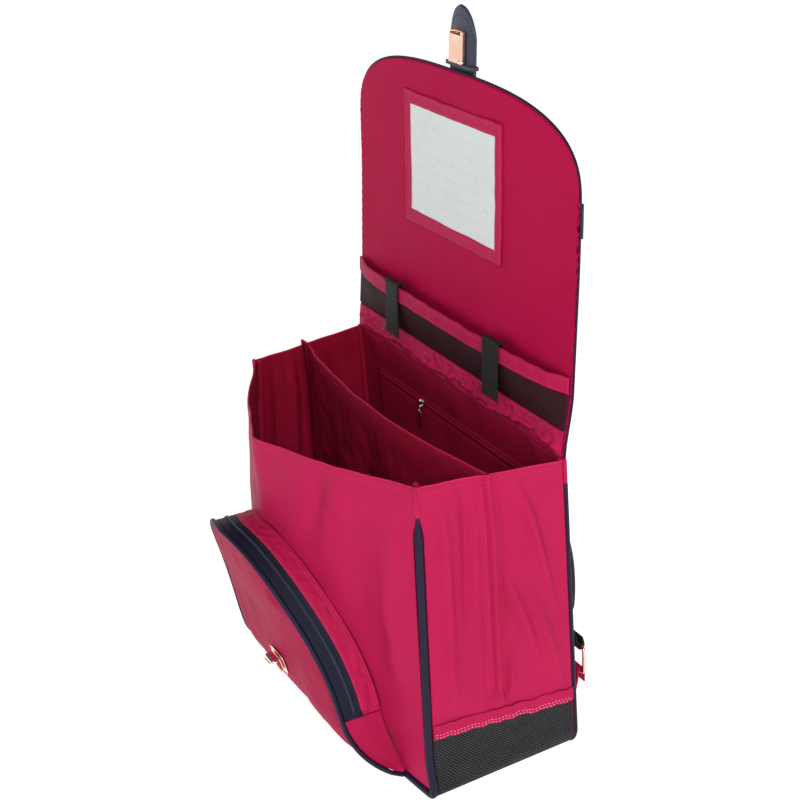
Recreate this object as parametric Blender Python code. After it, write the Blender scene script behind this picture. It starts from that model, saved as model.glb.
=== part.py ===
"""School satchel: two open compartments, a lifted flap and a domed front pocket.

Metres, +Z up. The bag stands on z = 0, its front faces -Y and its width runs along X.
"""
import math

import bmesh
import bpy
import numpy as np
from mathutils import Matrix, Vector

MM = 0.001
GAP = 0.3 * MM

# Cloth and board thicknesses
CLOTH_T = 1.6 * MM
BASE_T = 2.0 * MM
BACK_T = 2.6 * MM
DIVIDER_T = 1.2 * MM
LINING_T = 1.2 * MM
FLAP_T = 3.0 * MM
HEM_T = 1.0 * MM
MESH_T = 1.2 * MM
BINDING_T = 2.2 * MM
WEBBING_T = 1.5 * MM
TAPE_T = 1.4 * MM
LEATHER_T = 1.8 * MM
VINYL_T = 0.8 * MM

# Body: a tapered box with round lower corners
HEIGHT = 0.295
BACK_HALF = 0.1875
FRONT_HALF_FOOT = 0.1775
FRONT_HALF_TOP = 0.1625
DEPTH = 0.145
FRONT_TAPER = 0.0085
BACK_TAPER = 0.0100
FRONT_Y_FOOT = -DEPTH / 2
FRONT_Y_TOP = FRONT_Y_FOOT + FRONT_TAPER
BACK_Y_FOOT = DEPTH / 2
BACK_Y_TOP = BACK_Y_FOOT - BACK_TAPER
FRONT_CORNER_R = 0.009
BACK_CORNER_R = 0.025
FOOT_FLARE = 0.007
FOOT_FLARE_RISE = 0.040
BAND_TOP = 0.0597
BAND_SIDE_STEPS = 2
BAND_CORNER_STEPS = 6
BAND_FOOT_STEPS = 4
HEM_FOOT = 0.056
HEM_HEIGHT = 0.014

# Bulge of the front wall
BULGE_FOOT = 0.014
BULGE_TOP = 0.069
BULGE_RISE = 0.200
BULGE_SIDE_POWER = 1.6
BULGE_LIP_POWER = 1.45
LIP_CREASE = 0.004
LIP_CREASE_WIDTH = 0.016

# Piping
FRONT_PIPE_R = 3.6 * MM
FRONT_PIPE_SET = 1.8 * MM
FRONT_PIPE_DROP = 0.027
TACK_OUT = 2.6 * MM
TACK_R = 3.3 * MM
BACK_PIPE_R = 2.0 * MM
BACK_PIPE_SET = 1.0 * MM
BACK_PIPE_DROP = 0.004

# Gusset pinch and divider
DIVIDER_Y = -0.004
DIVIDER_BOW = 0.018
FIN_OUT = 0.0050
FIN_HALF = 0.0034
FIN_FOOT_HALF = 0.0120
FIN_FOOT_RISE = 0.024
GUSSET_FOLD = 0.0030
FRONT_FOLD = 0.0035

# Inside of the back wall
LINING_HALF = 0.150
LINING_DEEP = 0.138
LINING_SAG = 0.006
INNER_ZIP_Z = HEIGHT - 0.037
INNER_ZIP_W = 0.010
INNER_PULL_X = -0.055

# Zip slider and the pull that hangs on it
SLIDER_H = 0.0090
SLIDER_D = 0.0045
PULL_L = 0.0220
PULL_W = 0.0070
PULL_T = 1.6 * MM

# Flap, measured from the top of the back wall along the flap
FLAP_LEAN_DEG = 3.5
FLAP_LENGTH = 0.289
FLAP_HALF_FOOT = 0.1850
FLAP_HALF = 0.1875
FLAP_CORNER_RISE = 0.075
FLAP_CORNER_POWER = 2.9
FLAP_PIPE_R = 1.5 * MM
FLAP_CURL = 0.0035
FLAP_CURL_RISE = 0.060
FLAP_CURL_TOP = 0.2
FLAP_CROWN = 0.003
FLAP_CROWN_START = 0.15
PLEAT_TOP = 0.0255
PLEAT_DEPTH = 0.0022
PLEAT_COUNT = 9
NET_TOP = 0.0580
NET_BULGE = 0.0110
NET_SIDE_POWER = 6.0
BINDING_H = 0.0150
FLAP_STRAP_X = 0.090
FLAP_STRAP_W = 0.025
FLAP_STRAP_FOOT = 0.010
FLAP_STRAP_LIFT = 0.35 * MM
FLAP_STRAP_INSIDE = 0.030

# Card window
WINDOW_X = -0.004
WINDOW_T = 0.1985
WINDOW_W = 0.148
WINDOW_H = 0.098
WINDOW_BORDER_X = 0.0105
WINDOW_BORDER_T = 0.0120
WINDOW_FRAME_T = 1.4 * MM

# Closure tab and clasp
TAB_X = 0.0
TAB_W = 0.040
TAB_FOOT = 0.205
TAB_OVER = 0.0565
TAB_T = 3.0 * MM
TAB_CURVE = 0.0025
TAB_POINT = 0.034
KEEPER_W = 0.046
KEEPER_H = 0.0034
KEEPER_BAR = 1.2 * MM
CLASP_W = 0.0200
CLASP_LEVER_L = 0.0240
CLASP_LEVER_T = 1.6 * MM
CLASP_PLATE_T = 1.0 * MM
CLASP_CHEEK = 1.6 * MM
CLASP_BARREL_R = 1.8 * MM
CLASP_PIN_R = 0.8 * MM
CLASP_RUN = 0.15 * MM
CLASP_SIDE_RUN = 0.3 * MM
CLASP_EASE = 0.6 * MM

# Outer face of the flap
BAND_T = 0.204
BAND_W = 0.029
HANDLE_T = 0.072
HANDLE_X = 0.090
HANDLE_W = 0.024
HANDLE_RISE = 0.036
HANDLE_THICK = 0.007
HANDLE_END = 0.030
HANDLE_SQUARE = 0.6

# Front pocket: an arch that stands out from the bulged front wall
POCKET_HALF = 0.112
POCKET_FOOT_HALF = 0.140
POCKET_FOOT_Z = 0.010
POCKET_FLARE_POWER = 2.2
POCKET_SPRING_Z = 0.058
POCKET_RISE = 0.157
POCKET_DEPTH = 0.041
POCKET_DEPTH_START = 0.0064
POCKET_DEPTH_RISE = 0.0145
POCKET_DOME = 0.007
POCKET_DOME_POWER = 0.7
POCKET_MIN_WALL = 1.0 * MM
POCKET_BAND_W = 0.0190
POCKET_PIPE_R = 2.2 * MM
POCKET_PULL_RISE = 0.020
POCKET_PULL_SHARE = 0.42
POCKET_SIDE_STEPS = 6
ZIP_TEETH_W = 0.0030
ZIP_TEETH_T = 1.0 * MM

# Lock on the pocket
LOCK_Z = 0.066
LOCK_W = 0.026
LOCK_H = 0.022
LOCK_D = 0.010
LOCK_PLATE_W = 0.036
LOCK_PLATE_H = 0.032
LOCK_PLATE_T = 1.2 * MM
LOCK_BEVEL = 1.5 * MM
LOCK_PLATE_BEVEL = 0.4 * MM

# Back of the bag
PAD_HALF = 0.098
PAD_FOOT = 0.045
PAD_TOP = HEIGHT - 0.033
PAD_T = 0.011
STRAP_W = 0.055
STRAP_T = 0.010
STRAP_STAND = 0.0065
RING_W = 0.034
RING_H = 0.030
RING_R = 1.7 * MM
RING_Z = 0.086
RING_STAND = 0.015
RING_CORNER = 0.004
LOOP_EASE = 0.4 * MM
ANCHOR_X = BACK_HALF - 0.0195
ANCHOR_TAIL = 0.012
WEBBING_TAIL = 0.007
RING_SHIFT = 0.004
ANCHOR_FOOT = 0.022

# Folds of a side wall. Places, length and width are shares of its depth and height,
# the height of a fold is a share of GUSSET_FOLD.
GUSSET_FOLDS = (
    # depth at, height at, lean (deg), half length, half width, fold
    (0.14, 0.60, 0.0, 0.42, 0.060, 0.70),
    (0.30, 0.78, 4.0, 0.30, 0.060, -0.60),
    (0.78, 0.78, -32.0, 0.22, 0.055, 0.90),
    (0.66, 0.52, -36.0, 0.20, 0.050, 0.75),
    (0.84, 0.42, -30.0, 0.16, 0.060, 0.60),
    (0.90, 0.62, -30.0, 0.18, 0.045, -0.40),
)

# Folds of the front wall, as shares of its half-width and height and of FRONT_FOLD.
FRONT_FOLDS = (
    # width at, height at, lean (deg), half length, half width, fold
    (0.58, 0.93, -14.0, 0.12, 0.060, 0.80),
    (0.44, 0.90, 16.0, 0.14, 0.060, -0.80),
    (-0.30, 0.94, -20.0, 0.14, 0.080, -0.60),
    (0.86, 0.60, 0.0, 0.30, 0.050, 0.50),
    (0.70, 0.50, -8.0, 0.30, 0.090, -0.50),
)

# Route of the right shoulder strap down the back: its place as shares of BACK_HALF and
# HEIGHT, how far it stands off as a share of STRAP_STAND, its width as a share of STRAP_W.
STRAP_ROUTE = (
    # across, height, stand-off, width
    (0.277, 0.922, 0.10, 0.80),
    (0.384, 0.871, 0.55, 0.95),
    (0.523, 0.786, 1.00, 1.00),
    (0.629, 0.688, 1.20, 1.00),
    (0.693, 0.583, 1.20, 1.00),
    (0.731, 0.481, 1.00, 0.90),
    (0.752, 0.400, 0.75, 0.70),
)

# Colour (linear), roughness and metallic of each finish
FINISHES = {
    "magenta_cloth": ((0.420, 0.022, 0.080), 0.55, 0.0),
    "dark_lining": ((0.180, 0.010, 0.032), 0.65, 0.0),
    "black_net": ((0.020, 0.018, 0.022), 0.70, 0.0),
    "navy_cloth": ((0.012, 0.014, 0.030), 0.50, 0.0),
    "black_webbing": ((0.022, 0.018, 0.018), 0.60, 0.0),
    "navy_leather": ((0.040, 0.045, 0.075), 0.40, 0.0),
    "rose_gold": ((0.720, 0.420, 0.320), 0.22, 1.0),
    "clear_vinyl": ((0.600, 0.640, 0.630), 0.25, 0.0),
}


def lerp(start, end, share):
    """Straight blend from start to end."""
    return start + (end - start) * share


def smooth(share):
    """Soft step from 0 to 1."""
    share = np.clip(share, 0.0, 1.0)
    return share * share * (3.0 - 2.0 * share)


def folds(table, across, along):
    """Sum of a table's folds, each a long soft ridge or dent."""
    total = np.zeros(np.broadcast(across, along).shape)
    for across_at, along_at, lean, half_length, half_width, height in table:
        turn = math.radians(lean)
        side = (across - across_at) * math.cos(turn) - (along - along_at) * math.sin(turn)
        run = (across - across_at) * math.sin(turn) + (along - along_at) * math.cos(turn)
        total = total + height * np.exp(-(side / half_width) ** 2 - (run / half_length) ** 2)
    return total


# Objects and meshes

def dress(obj, finish):
    """Give an object its own Principled material."""
    colour, roughness, metallic = FINISHES[finish]
    material = bpy.data.materials.new(obj.name)
    material.use_nodes = True
    shader = material.node_tree.nodes["Principled BSDF"]
    shader.inputs["Base Color"].default_value = (*colour, 1.0)
    shader.inputs["Roughness"].default_value = roughness
    shader.inputs["Metallic"].default_value = metallic
    material.diffuse_color = (*colour, 1.0)
    obj.data.materials.append(material)
    return obj


def mesh_object(name, vertices, faces, finish):
    """Object of a plain mesh."""
    mesh = bpy.data.meshes.new(name)
    mesh.from_pydata([tuple(map(float, vertex)) for vertex in vertices], [], faces)
    mesh.validate()
    obj = bpy.data.objects.new(name, mesh)
    bpy.context.collection.objects.link(obj)
    return dress(obj, finish)


def grid_faces(rows, columns, start=0):
    """Quads of a grid whose points run along the columns first."""
    index = start + np.arange(rows * columns).reshape(rows, columns)
    quads = np.stack((index[:-1, :-1], index[:-1, 1:], index[1:, 1:], index[1:, :-1]), -1)
    return quads.reshape(-1, 4).tolist()


def sheet(name, points, thickness, finish):
    """Cloth wall: a grid of points, thickened evenly to both sides."""
    rows, columns = points.shape[:2]
    obj = mesh_object(name, points.reshape(-1, 3), grid_faces(rows, columns), finish)
    wall = obj.modifiers.new("wall", "SOLIDIFY")
    wall.thickness = thickness
    wall.offset = 0.0
    wall.use_even_offset = True
    obj.data.shade_smooth()
    return obj


def slab(name, front, back, finish):
    """Closed body between two grids of the same shape, joined round their rims."""
    rows, columns = front.shape[:2]
    count = rows * columns
    faces = grid_faces(rows, columns)
    faces += [face[::-1] for face in grid_faces(rows, columns, count)]
    index = np.arange(count).reshape(rows, columns)
    rim = np.concatenate((index[0, :-1], index[:-1, -1], index[-1, :0:-1], index[:0:-1, 0]))
    following = np.roll(rim, -1)
    for here, there in zip(rim.tolist(), following.tolist()):
        faces.append([there, here, here + count, there + count])
    vertices = np.concatenate((front.reshape(-1, 3), back.reshape(-1, 3)))
    obj = mesh_object(name, vertices, faces, finish)
    face_outward(obj)
    return obj


def face_outward(obj):
    """Recalculate the normals of a closed mesh."""
    body = bmesh.new()
    body.from_mesh(obj.data)
    bmesh.ops.recalc_face_normals(body, faces=body.faces)
    body.to_mesh(obj.data)
    body.free()


def tube(name, points, radius, finish, resolution=1, radii=None):
    """Round tube along a poly curve, with filled ends."""
    curve = bpy.data.curves.new(name, "CURVE")
    curve.dimensions = "3D"
    curve.bevel_depth = radius
    curve.bevel_resolution = resolution
    curve.use_fill_caps = True
    spline = curve.splines.new("POLY")
    spline.points.add(len(points) - 1)
    for index, point in enumerate(points):
        spline.points[index].co = (*map(float, point), 1.0)
        if radii is not None:
            spline.points[index].radius = float(radii[index])
    obj = bpy.data.objects.new(name, curve)
    bpy.context.collection.objects.link(obj)
    return dress(obj, finish)


def block(name, size, finish, bevel=0.0, matrix=Matrix()):
    """Box of the given size about its matrix, with softened edges."""
    body = bmesh.new()
    bmesh.ops.create_cube(body, size=1.0)
    bmesh.ops.scale(body, vec=Vector(size), verts=body.verts)
    if bevel > 0.0:
        bmesh.ops.bevel(body, geom=body.edges[:], offset=bevel, segments=1, affect="EDGES")
    mesh = bpy.data.meshes.new(name)
    body.to_mesh(mesh)
    body.free()
    obj = bpy.data.objects.new(name, mesh)
    obj.matrix_world = matrix
    bpy.context.collection.objects.link(obj)
    return dress(obj, finish)


def cut(obj, cutter):
    """Subtract a cutter, which stays as a hidden wire guide."""
    cutter.hide_render = True
    cutter.display_type = "WIRE"
    step = obj.modifiers.new("cut_" + cutter.name, "BOOLEAN")
    step.operation = "DIFFERENCE"
    step.solver = "EXACT"
    step.object = cutter


def cross_rod(name, radius, length, finish, sides, centre):
    """Round rod along X."""
    body = bmesh.new()
    bmesh.ops.create_cone(
        body, cap_ends=True, segments=sides, radius1=radius, radius2=radius, depth=length,
        matrix=Matrix.Rotation(math.pi / 2, 4, "Y"))
    mesh = bpy.data.meshes.new(name)
    body.to_mesh(mesh)
    body.free()
    obj = bpy.data.objects.new(name, mesh)
    obj.location = centre
    bpy.context.collection.objects.link(obj)
    return dress(obj, finish)


# Shape of the body

def front_half(z):
    """Half-width of the outer skin at the front edge."""
    flare = FOOT_FLARE * (1.0 - smooth(z / FOOT_FLARE_RISE))
    return lerp(FRONT_HALF_FOOT, FRONT_HALF_TOP, z / HEIGHT) + flare


def front_edge_y(z):
    """Depth of the front edge, where the piping runs."""
    return lerp(FRONT_Y_FOOT, FRONT_Y_TOP, z / HEIGHT)


def back_y(z):
    """Depth of the back wall."""
    return lerp(BACK_Y_FOOT, BACK_Y_TOP, z / HEIGHT)


def pipe_half(z):
    """Half-width of the middle of the front piping, corners aside."""
    return front_half(z) - FRONT_PIPE_SET


def bulge(x, z):
    """How far the front wall stands out from its edge: more towards the top, peaked at the lip."""
    depth = lerp(BULGE_FOOT, BULGE_TOP, smooth(z / BULGE_RISE))
    power = lerp(BULGE_SIDE_POWER, BULGE_LIP_POWER, smooth(2.0 * z / HEIGHT - 1.0))
    share = np.clip(np.abs(x) / pipe_half(z), 0.0, 1.0)
    return depth * (1.0 - share ** power)


def front_y(x, z):
    """Depth of the front wall without its folds."""
    return front_edge_y(z) - bulge(x, z)


def u_half(z, half, radius, floor):
    """Half-width of a U outline: straight sides and round lower corners."""
    below = np.clip(floor + radius - z, 0.0, radius)
    return half - radius + np.sqrt(radius ** 2 - below ** 2)


def u_heights(top, radius, floor, corner_rows, side_rows):
    """Heights of a U outline's rows, closer together round the corner."""
    turn = np.linspace(0.0, math.pi / 2, corner_rows + 1)
    corner = floor + radius * (1.0 - np.cos(turn))
    side = np.linspace(floor + radius, top, side_rows + 1)[1:]
    return np.concatenate((corner, side))


def u_path(top, half_at, radius, floor, side_steps, corner_steps, foot_steps):
    """Points (x, z) down the right side, under the foot and up the left side."""
    turn = np.linspace(0.0, math.pi / 2, corner_steps + 1)
    side = np.linspace(top, floor + radius, side_steps + 1)[:-1]
    z = np.concatenate((side, floor + radius * (1.0 - np.sin(turn))))
    x = u_half(z, half_at(z), radius, floor)
    foot = np.linspace(1.0, 0.0, foot_steps + 1)[1:] * x[-1]
    x = np.concatenate((x, foot))
    z = np.concatenate((z, np.full(foot_steps, floor)))
    return np.concatenate((x, -x[-2::-1])), np.concatenate((z, z[-2::-1]))


def side_depth(z):
    """Front and back limits in y of a side wall between the two pipings."""
    start = front_edge_y(z) + FRONT_PIPE_R + GAP
    end = back_y(z) - BACK_PIPE_R - GAP
    return start, end


def side_x(share, z):
    """Outer skin of the side at a share of its depth, corners aside."""
    return lerp(front_half(z), BACK_HALF, share)


def divider_share(z):
    """Where the divider meets the side wall, as a share of its depth."""
    start, end = side_depth(z)
    return (DIVIDER_Y - start) / (end - start)


def fin(share, z):
    """Outward pinch of the side wall at the divider, which splays at its foot."""
    start, end = side_depth(z)
    away = np.abs(share - divider_share(z)) * (end - start)
    foot = HEM_FOOT + HEM_HEIGHT
    rise = smooth((z - foot) / FIN_FOOT_RISE)
    half = lerp(FIN_FOOT_HALF, FIN_HALF, rise)
    return FIN_OUT * np.clip(1.0 - away / half, 0.0, 1.0) * smooth((z - foot) / (0.3 * FIN_FOOT_RISE))


def gusset_offset(share, z):
    """Folds of the side wall: none at its edges, its foot and beside the divider."""
    foot = HEM_FOOT + HEM_HEIGHT
    clear_foot = smooth((z - foot) / FIN_FOOT_RISE)
    clear_edge = smooth(share / 0.08) * smooth((1.0 - share) / 0.08)
    clear_divider = smooth((np.abs(share - divider_share(z)) - 0.03) / 0.06)
    height = GUSSET_FOLD * folds(GUSSET_FOLDS, share, z / HEIGHT)
    return height * clear_foot * clear_edge * clear_divider


def gusset_points(inset):
    """Grid of the right side wall, its middle surface inset from the skin."""
    foot = BAND_TOP + GAP
    at = float(divider_share(0.5 * HEIGHT))
    depth = float(np.subtract(*side_depth(0.5 * HEIGHT)[::-1]))
    pinch = FIN_HALF / depth
    shares = np.concatenate((
        np.linspace(0.0, at - 4.0 * pinch, 6),
        at + pinch * np.array((-2.2, -1.0, 0.0, 1.0, 2.2)),
        np.linspace(at + 4.0 * pinch, 1.0, 7)))
    heights = np.concatenate((
        np.linspace(foot, HEM_FOOT + HEM_HEIGHT + GAP, 2),
        HEM_FOOT + HEM_HEIGHT + FIN_FOOT_RISE * np.array((0.15, 0.4, 0.7, 1.0)),
        np.linspace(HEM_FOOT + HEM_HEIGHT + 2.0 * FIN_FOOT_RISE, HEIGHT, 9)))
    share, z = np.meshgrid(shares, heights)
    start, end = side_depth(z)
    x = side_x(share, z) - inset + fin(share, z) + gusset_offset(share, z)
    return np.stack((x, lerp(start, end, share), z), -1)


# Body pieces

def make_front_panel():
    """Bulged front wall, edge to edge between the piping."""
    inset = FRONT_PIPE_R + GAP
    radius = FRONT_CORNER_R - inset
    floor = FRONT_PIPE_R + inset
    heights = u_heights(HEIGHT, radius, floor, 3, 12)
    shares = np.sin(np.linspace(-0.5, 0.5, 23) * math.pi * 0.86) / math.sin(0.43 * math.pi)
    share, z = np.meshgrid(shares, heights)
    x = share * u_half(z, pipe_half(z) - inset, radius, floor)
    calm = smooth((1.0 - np.abs(share)) / 0.12) * smooth((z / HEIGHT - 0.2) / 0.2)
    crease = LIP_CREASE * np.exp(-(x / LIP_CREASE_WIDTH) ** 2) * smooth(3.0 * z / HEIGHT - 2.0)
    fold = FRONT_FOLD * folds(FRONT_FOLDS, share, z / HEIGHT) * calm
    y = front_y(x, z) - crease - fold
    sheet("front_panel", np.stack((x, y, z), -1), CLOTH_T, "magenta_cloth")


def make_gussets():
    """Side walls; the left one mirrors the right one."""
    right = gusset_points(CLOTH_T / 2)
    left = right * np.array((-1.0, 1.0, 1.0))
    sheet("gusset_right", right, CLOTH_T, "magenta_cloth")
    sheet("gusset_left", left, CLOTH_T, "magenta_cloth")


def make_back_panel():
    """Stiff back wall inside the back piping."""
    inset = BACK_PIPE_R + GAP
    radius = BACK_CORNER_R - inset
    floor = BACK_PIPE_R + inset
    heights = u_heights(HEIGHT, radius, floor, 5, 3)
    share, z = np.meshgrid(np.linspace(-1.0, 1.0, 7), heights)
    x = share * u_half(z, BACK_HALF - BACK_PIPE_SET - inset, radius, floor)
    sheet("back_panel", np.stack((x, back_y(z), z), -1), BACK_T, "magenta_cloth")


def band_section(share):
    """Middle line (x, z) of the base band at a share of its depth: from front to back its
    corners open out."""
    inset = BASE_T / 2
    front_x, front_z = u_path(
        BAND_TOP, lambda at: front_half(at) - inset, FRONT_CORNER_R - inset, inset,
        BAND_SIDE_STEPS, BAND_CORNER_STEPS, BAND_FOOT_STEPS)
    back_x, back_z = u_path(
        BAND_TOP, lambda at: BACK_HALF - inset + 0.0 * at, BACK_CORNER_R - inset, inset,
        BAND_SIDE_STEPS, BAND_CORNER_STEPS, BAND_FOOT_STEPS)
    y = lerp(front_y(front_x, front_z) + FRONT_PIPE_R + GAP, back_y(back_z) - BACK_PIPE_R - GAP, share)
    return lerp(front_x, back_x, share), y, lerp(front_z, back_z, share)


def make_base_band():
    """Band under the bag and up both sides, flat on the ground."""
    points = np.stack(band_section(np.linspace(0.0, 1.0, 5)[:, None]), -1)
    sheet("base_band", points, BASE_T, "black_net")


def make_hems():
    """Stitched strips over the join of the side walls and the base band."""
    share, z = np.meshgrid(np.linspace(0.0, 1.0, 9), np.linspace(HEM_FOOT, HEM_FOOT + HEM_HEIGHT, 2))
    start, end = side_depth(z)
    x = side_x(share, z) + GAP + HEM_T / 2
    right = np.stack((x, lerp(start, end, share), z), -1)
    sheet("hem_right", right, HEM_T, "magenta_cloth")
    sheet("hem_left", right * np.array((-1.0, 1.0, 1.0)), HEM_T, "magenta_cloth")


def make_front_piping():
    """Tube round the front seam, from below one top corner to the other."""
    radius = FRONT_CORNER_R - FRONT_PIPE_R
    x, z = u_path(HEIGHT - FRONT_PIPE_DROP, pipe_half, radius, FRONT_PIPE_R, 5, 4, 5)
    tube("front_piping", np.stack((x, front_y(x, z), z), -1), FRONT_PIPE_R, "navy_cloth")


def make_back_piping():
    """Thin tube round the back seam."""
    x, z = u_path(HEIGHT - BACK_PIPE_DROP, lambda at: BACK_HALF - BACK_PIPE_SET + 0.0 * at,
                  BACK_CORNER_R - BACK_PIPE_R, BACK_PIPE_R, 2, 6, 1)
    tube("back_piping", np.stack((x, back_y(z), z), -1), BACK_PIPE_R, "navy_cloth", 0)


def make_corner_tacks():
    """Sewn pinch at each front top corner, leaning outward to an ear at the top."""
    z = np.linspace(HEIGHT - FRONT_PIPE_DROP + 2.0 * GAP, HEIGHT, 5)
    lean = smooth((z - z[0]) / (z[-1] - z[0]))
    for side, word in ((1.0, "right"), (-1.0, "left")):
        x = side * (pipe_half(z) + TACK_OUT * lean)
        y = front_edge_y(z) - TACK_OUT * lean
        radii = lerp(1.0, 0.7, lean)
        tube("corner_tack_" + word, np.stack((x, y, z), -1), TACK_R, "magenta_cloth", 1, radii)


def make_divider():
    """Wall between the compartments, bowed forward at its top and clear of the base band."""
    x, y, z = band_section(float(divider_share(0.0)))
    away = BASE_T / 2 + 2.0 * GAP
    along = np.stack((np.gradient(x), np.gradient(z)), -1)
    along /= np.linalg.norm(along, axis=1)[:, None]
    rows = BAND_SIDE_STEPS + BAND_CORNER_STEPS + 1
    low_half = (x + along[:, 1] * away)[rows - 1::-1]
    low_z = (z - along[:, 0] * away)[rows - 1::-1]
    high_z = np.linspace(BAND_TOP, HEIGHT, 6)[1:]
    high_half = side_x(divider_share(high_z), high_z) - away - BASE_T / 2
    share, heights = np.meshgrid(np.linspace(-1.0, 1.0, 13), np.concatenate((low_z, high_z)))
    half = np.concatenate((low_half, high_half))[:, None]
    y = DIVIDER_Y - DIVIDER_BOW * (1.0 - share ** 2) * smooth(heights / HEIGHT)
    sheet("divider", np.stack((share * half, y, heights), -1), DIVIDER_T, "dark_lining")


def make_inner_pocket():
    """Flat pocket on the inside of the back wall, with a zip along its top."""
    share, down = np.meshgrid(np.linspace(-1.0, 1.0, 9), np.linspace(0.0, 1.0, 6))
    top = INNER_ZIP_Z - INNER_ZIP_W / 2 - GAP
    z = lerp(top, INNER_ZIP_Z - LINING_DEEP, down)
    face = back_y(z) - BACK_T / 2 - GAP - LINING_T / 2
    y = face - LINING_SAG * (1.0 - share ** 4) * np.sin(math.pi * down)
    sheet("inner_pocket", np.stack((share * LINING_HALF, y, z), -1), LINING_T, "dark_lining")
    share, z = np.meshgrid(
        np.linspace(-1.0, 1.0, 5), INNER_ZIP_Z + INNER_ZIP_W * np.array((-0.5, 0.0, 0.5)))
    y = back_y(z) - BACK_T / 2 - GAP - TAPE_T / 2
    sheet("inner_zip", np.stack((share * LINING_HALF, y, z), -1), TAPE_T, "navy_cloth")
    front = float(back_y(INNER_ZIP_Z)) - BACK_T / 2 - 2.0 * GAP - TAPE_T
    make_pull("inner_zip_pull", Vector((INNER_PULL_X, front, INNER_ZIP_Z)), 0.0)


def make_pull(name, seat, turn):
    """Zip slider with its hanging pull, as one body: seat is the tape's face under it."""
    outline = (
        (0.0, -SLIDER_H / 2), (0.0, SLIDER_H / 2), (-SLIDER_D, SLIDER_H / 2),
        (-SLIDER_D - PULL_T, SLIDER_H / 2 + PULL_T), (-SLIDER_D - PULL_T / 2, -SLIDER_H / 2 - PULL_L),
        (-SLIDER_D + PULL_T / 2, -SLIDER_H / 2 - PULL_L), (-SLIDER_D, 0.0))
    body = bmesh.new()
    ring = [body.verts.new((-PULL_W / 2, depth, z)) for depth, z in outline]
    face = body.faces.new(ring)
    extruded = bmesh.ops.extrude_face_region(body, geom=[face])
    moved = [item for item in extruded["geom"] if isinstance(item, bmesh.types.BMVert)]
    bmesh.ops.translate(body, vec=Vector((PULL_W, 0.0, 0.0)), verts=moved)
    bmesh.ops.recalc_face_normals(body, faces=body.faces)
    mesh = bpy.data.meshes.new(name)
    body.to_mesh(mesh)
    body.free()
    obj = bpy.data.objects.new(name, mesh)
    obj.matrix_world = Matrix.Translation(seat) @ Matrix.Rotation(turn, 4, "Z")
    bpy.context.collection.objects.link(obj)
    return dress(obj, "rose_gold")


# Flap

LEAN = math.radians(FLAP_LEAN_DEG)
FLAP_EDGE = FLAP_PIPE_R + GAP


def flap_point(x, t, out):
    """Point on the flap: t up along it, out towards the front from its middle surface.

    Its sides curl back above the hinge, and the middle of its top crowns forward.
    """
    side = (x / FLAP_HALF) ** 2
    upper = smooth((t - FLAP_CROWN_START) / (FLAP_LENGTH - FLAP_CROWN_START))
    curl = FLAP_CURL * side * smooth(t / FLAP_CURL_RISE) * lerp(1.0, FLAP_CURL_TOP, upper)
    out = out - curl + FLAP_CROWN * (1.0 - side) * upper
    y = BACK_Y_TOP + t * math.sin(LEAN) - out * math.cos(LEAN)
    z = HEIGHT + GAP + t * math.cos(LEAN) + out * math.sin(LEAN)
    return np.stack(np.broadcast_arrays(x, y, z), -1)


def flap_width(t):
    """Half-width of the flap below its corners."""
    return lerp(FLAP_HALF_FOOT, FLAP_HALF, smooth(t / NET_TOP))


def flap_top(share):
    """Height of the flap's top edge over a share of its half-width."""
    crown = (1.0 - np.abs(share) ** FLAP_CORNER_POWER) ** (1.0 / FLAP_CORNER_POWER)
    return FLAP_LENGTH - FLAP_CORNER_RISE * (1.0 - crown)


def flap_matrix(x, t, out):
    """Frame of a hard piece on the flap: X across, Y out of its back, Z up along it."""
    spot = Vector(flap_point(np.array(x), np.array(t), np.array(out)).tolist())
    return Matrix.Translation(spot) @ Matrix.Rotation(-LEAN, 4, "X")


def make_flap_panel():
    """Flap from the puckered strip to its arched top."""
    shares = np.sin(np.linspace(-0.5, 0.5, 19) * math.pi)
    share, up = np.meshgrid(shares, np.linspace(0.0, 1.0, 11))
    t = up * flap_top(share)
    sheet("flap_panel", flap_point(share * flap_width(t), t, 0.0 * t), FLAP_T, "magenta_cloth")


def make_flap_piping():
    """Thin tube along the flap's edge, held off by its own radius."""
    side = np.linspace(0.0, 1.0, 5)[:-1] * float(flap_top(1.0))
    turn = np.sin(np.linspace(0.5, -0.5, 25) * math.pi)
    x = np.concatenate((flap_width(side), turn * FLAP_HALF, -flap_width(side[::-1])))
    t = np.concatenate((side, flap_top(turn), side[::-1]))
    along = np.stack((np.gradient(x), np.gradient(t)), -1)
    along /= np.linalg.norm(along, axis=1)[:, None]
    x = x + along[:, 1] * FLAP_EDGE
    t = np.clip(t - along[:, 0] * FLAP_EDGE, 0.0, None)
    tube("flap_piping", flap_point(x, t, 0.0 * t), FLAP_PIPE_R, "navy_cloth", 0)


def make_hinge_strip():
    """Puckered strip over the foot of the flap's inner face."""
    share, up = np.meshgrid(np.linspace(-1.0, 1.0, 28), np.linspace(0.0, 1.0, 4))
    x = share * (FLAP_HALF_FOOT - GAP)
    pucker = 0.5 + 0.5 * np.sin(share * math.pi * PLEAT_COUNT + 1.5 * up)
    out = FLAP_T / 2 + GAP + LINING_T / 2 + PLEAT_DEPTH * pucker * np.sin(math.pi * up)
    t = lerp(LINING_T, PLEAT_TOP - 3.0 * GAP, up)
    sheet("hinge_strip", flap_point(x, t, out), LINING_T, "magenta_cloth")


def net_out(share, t):
    """Stand-off of the net pocket's middle surface from the flap's middle surface."""
    seat = FLAP_T / 2 + GAP + MESH_T / 2
    rise = np.sin(0.5 * math.pi * np.clip((t - PLEAT_TOP) / (NET_TOP - PLEAT_TOP), 0.0, 1.0))
    return seat + NET_BULGE * rise * (1.0 - np.abs(share) ** NET_SIDE_POWER)


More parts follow.
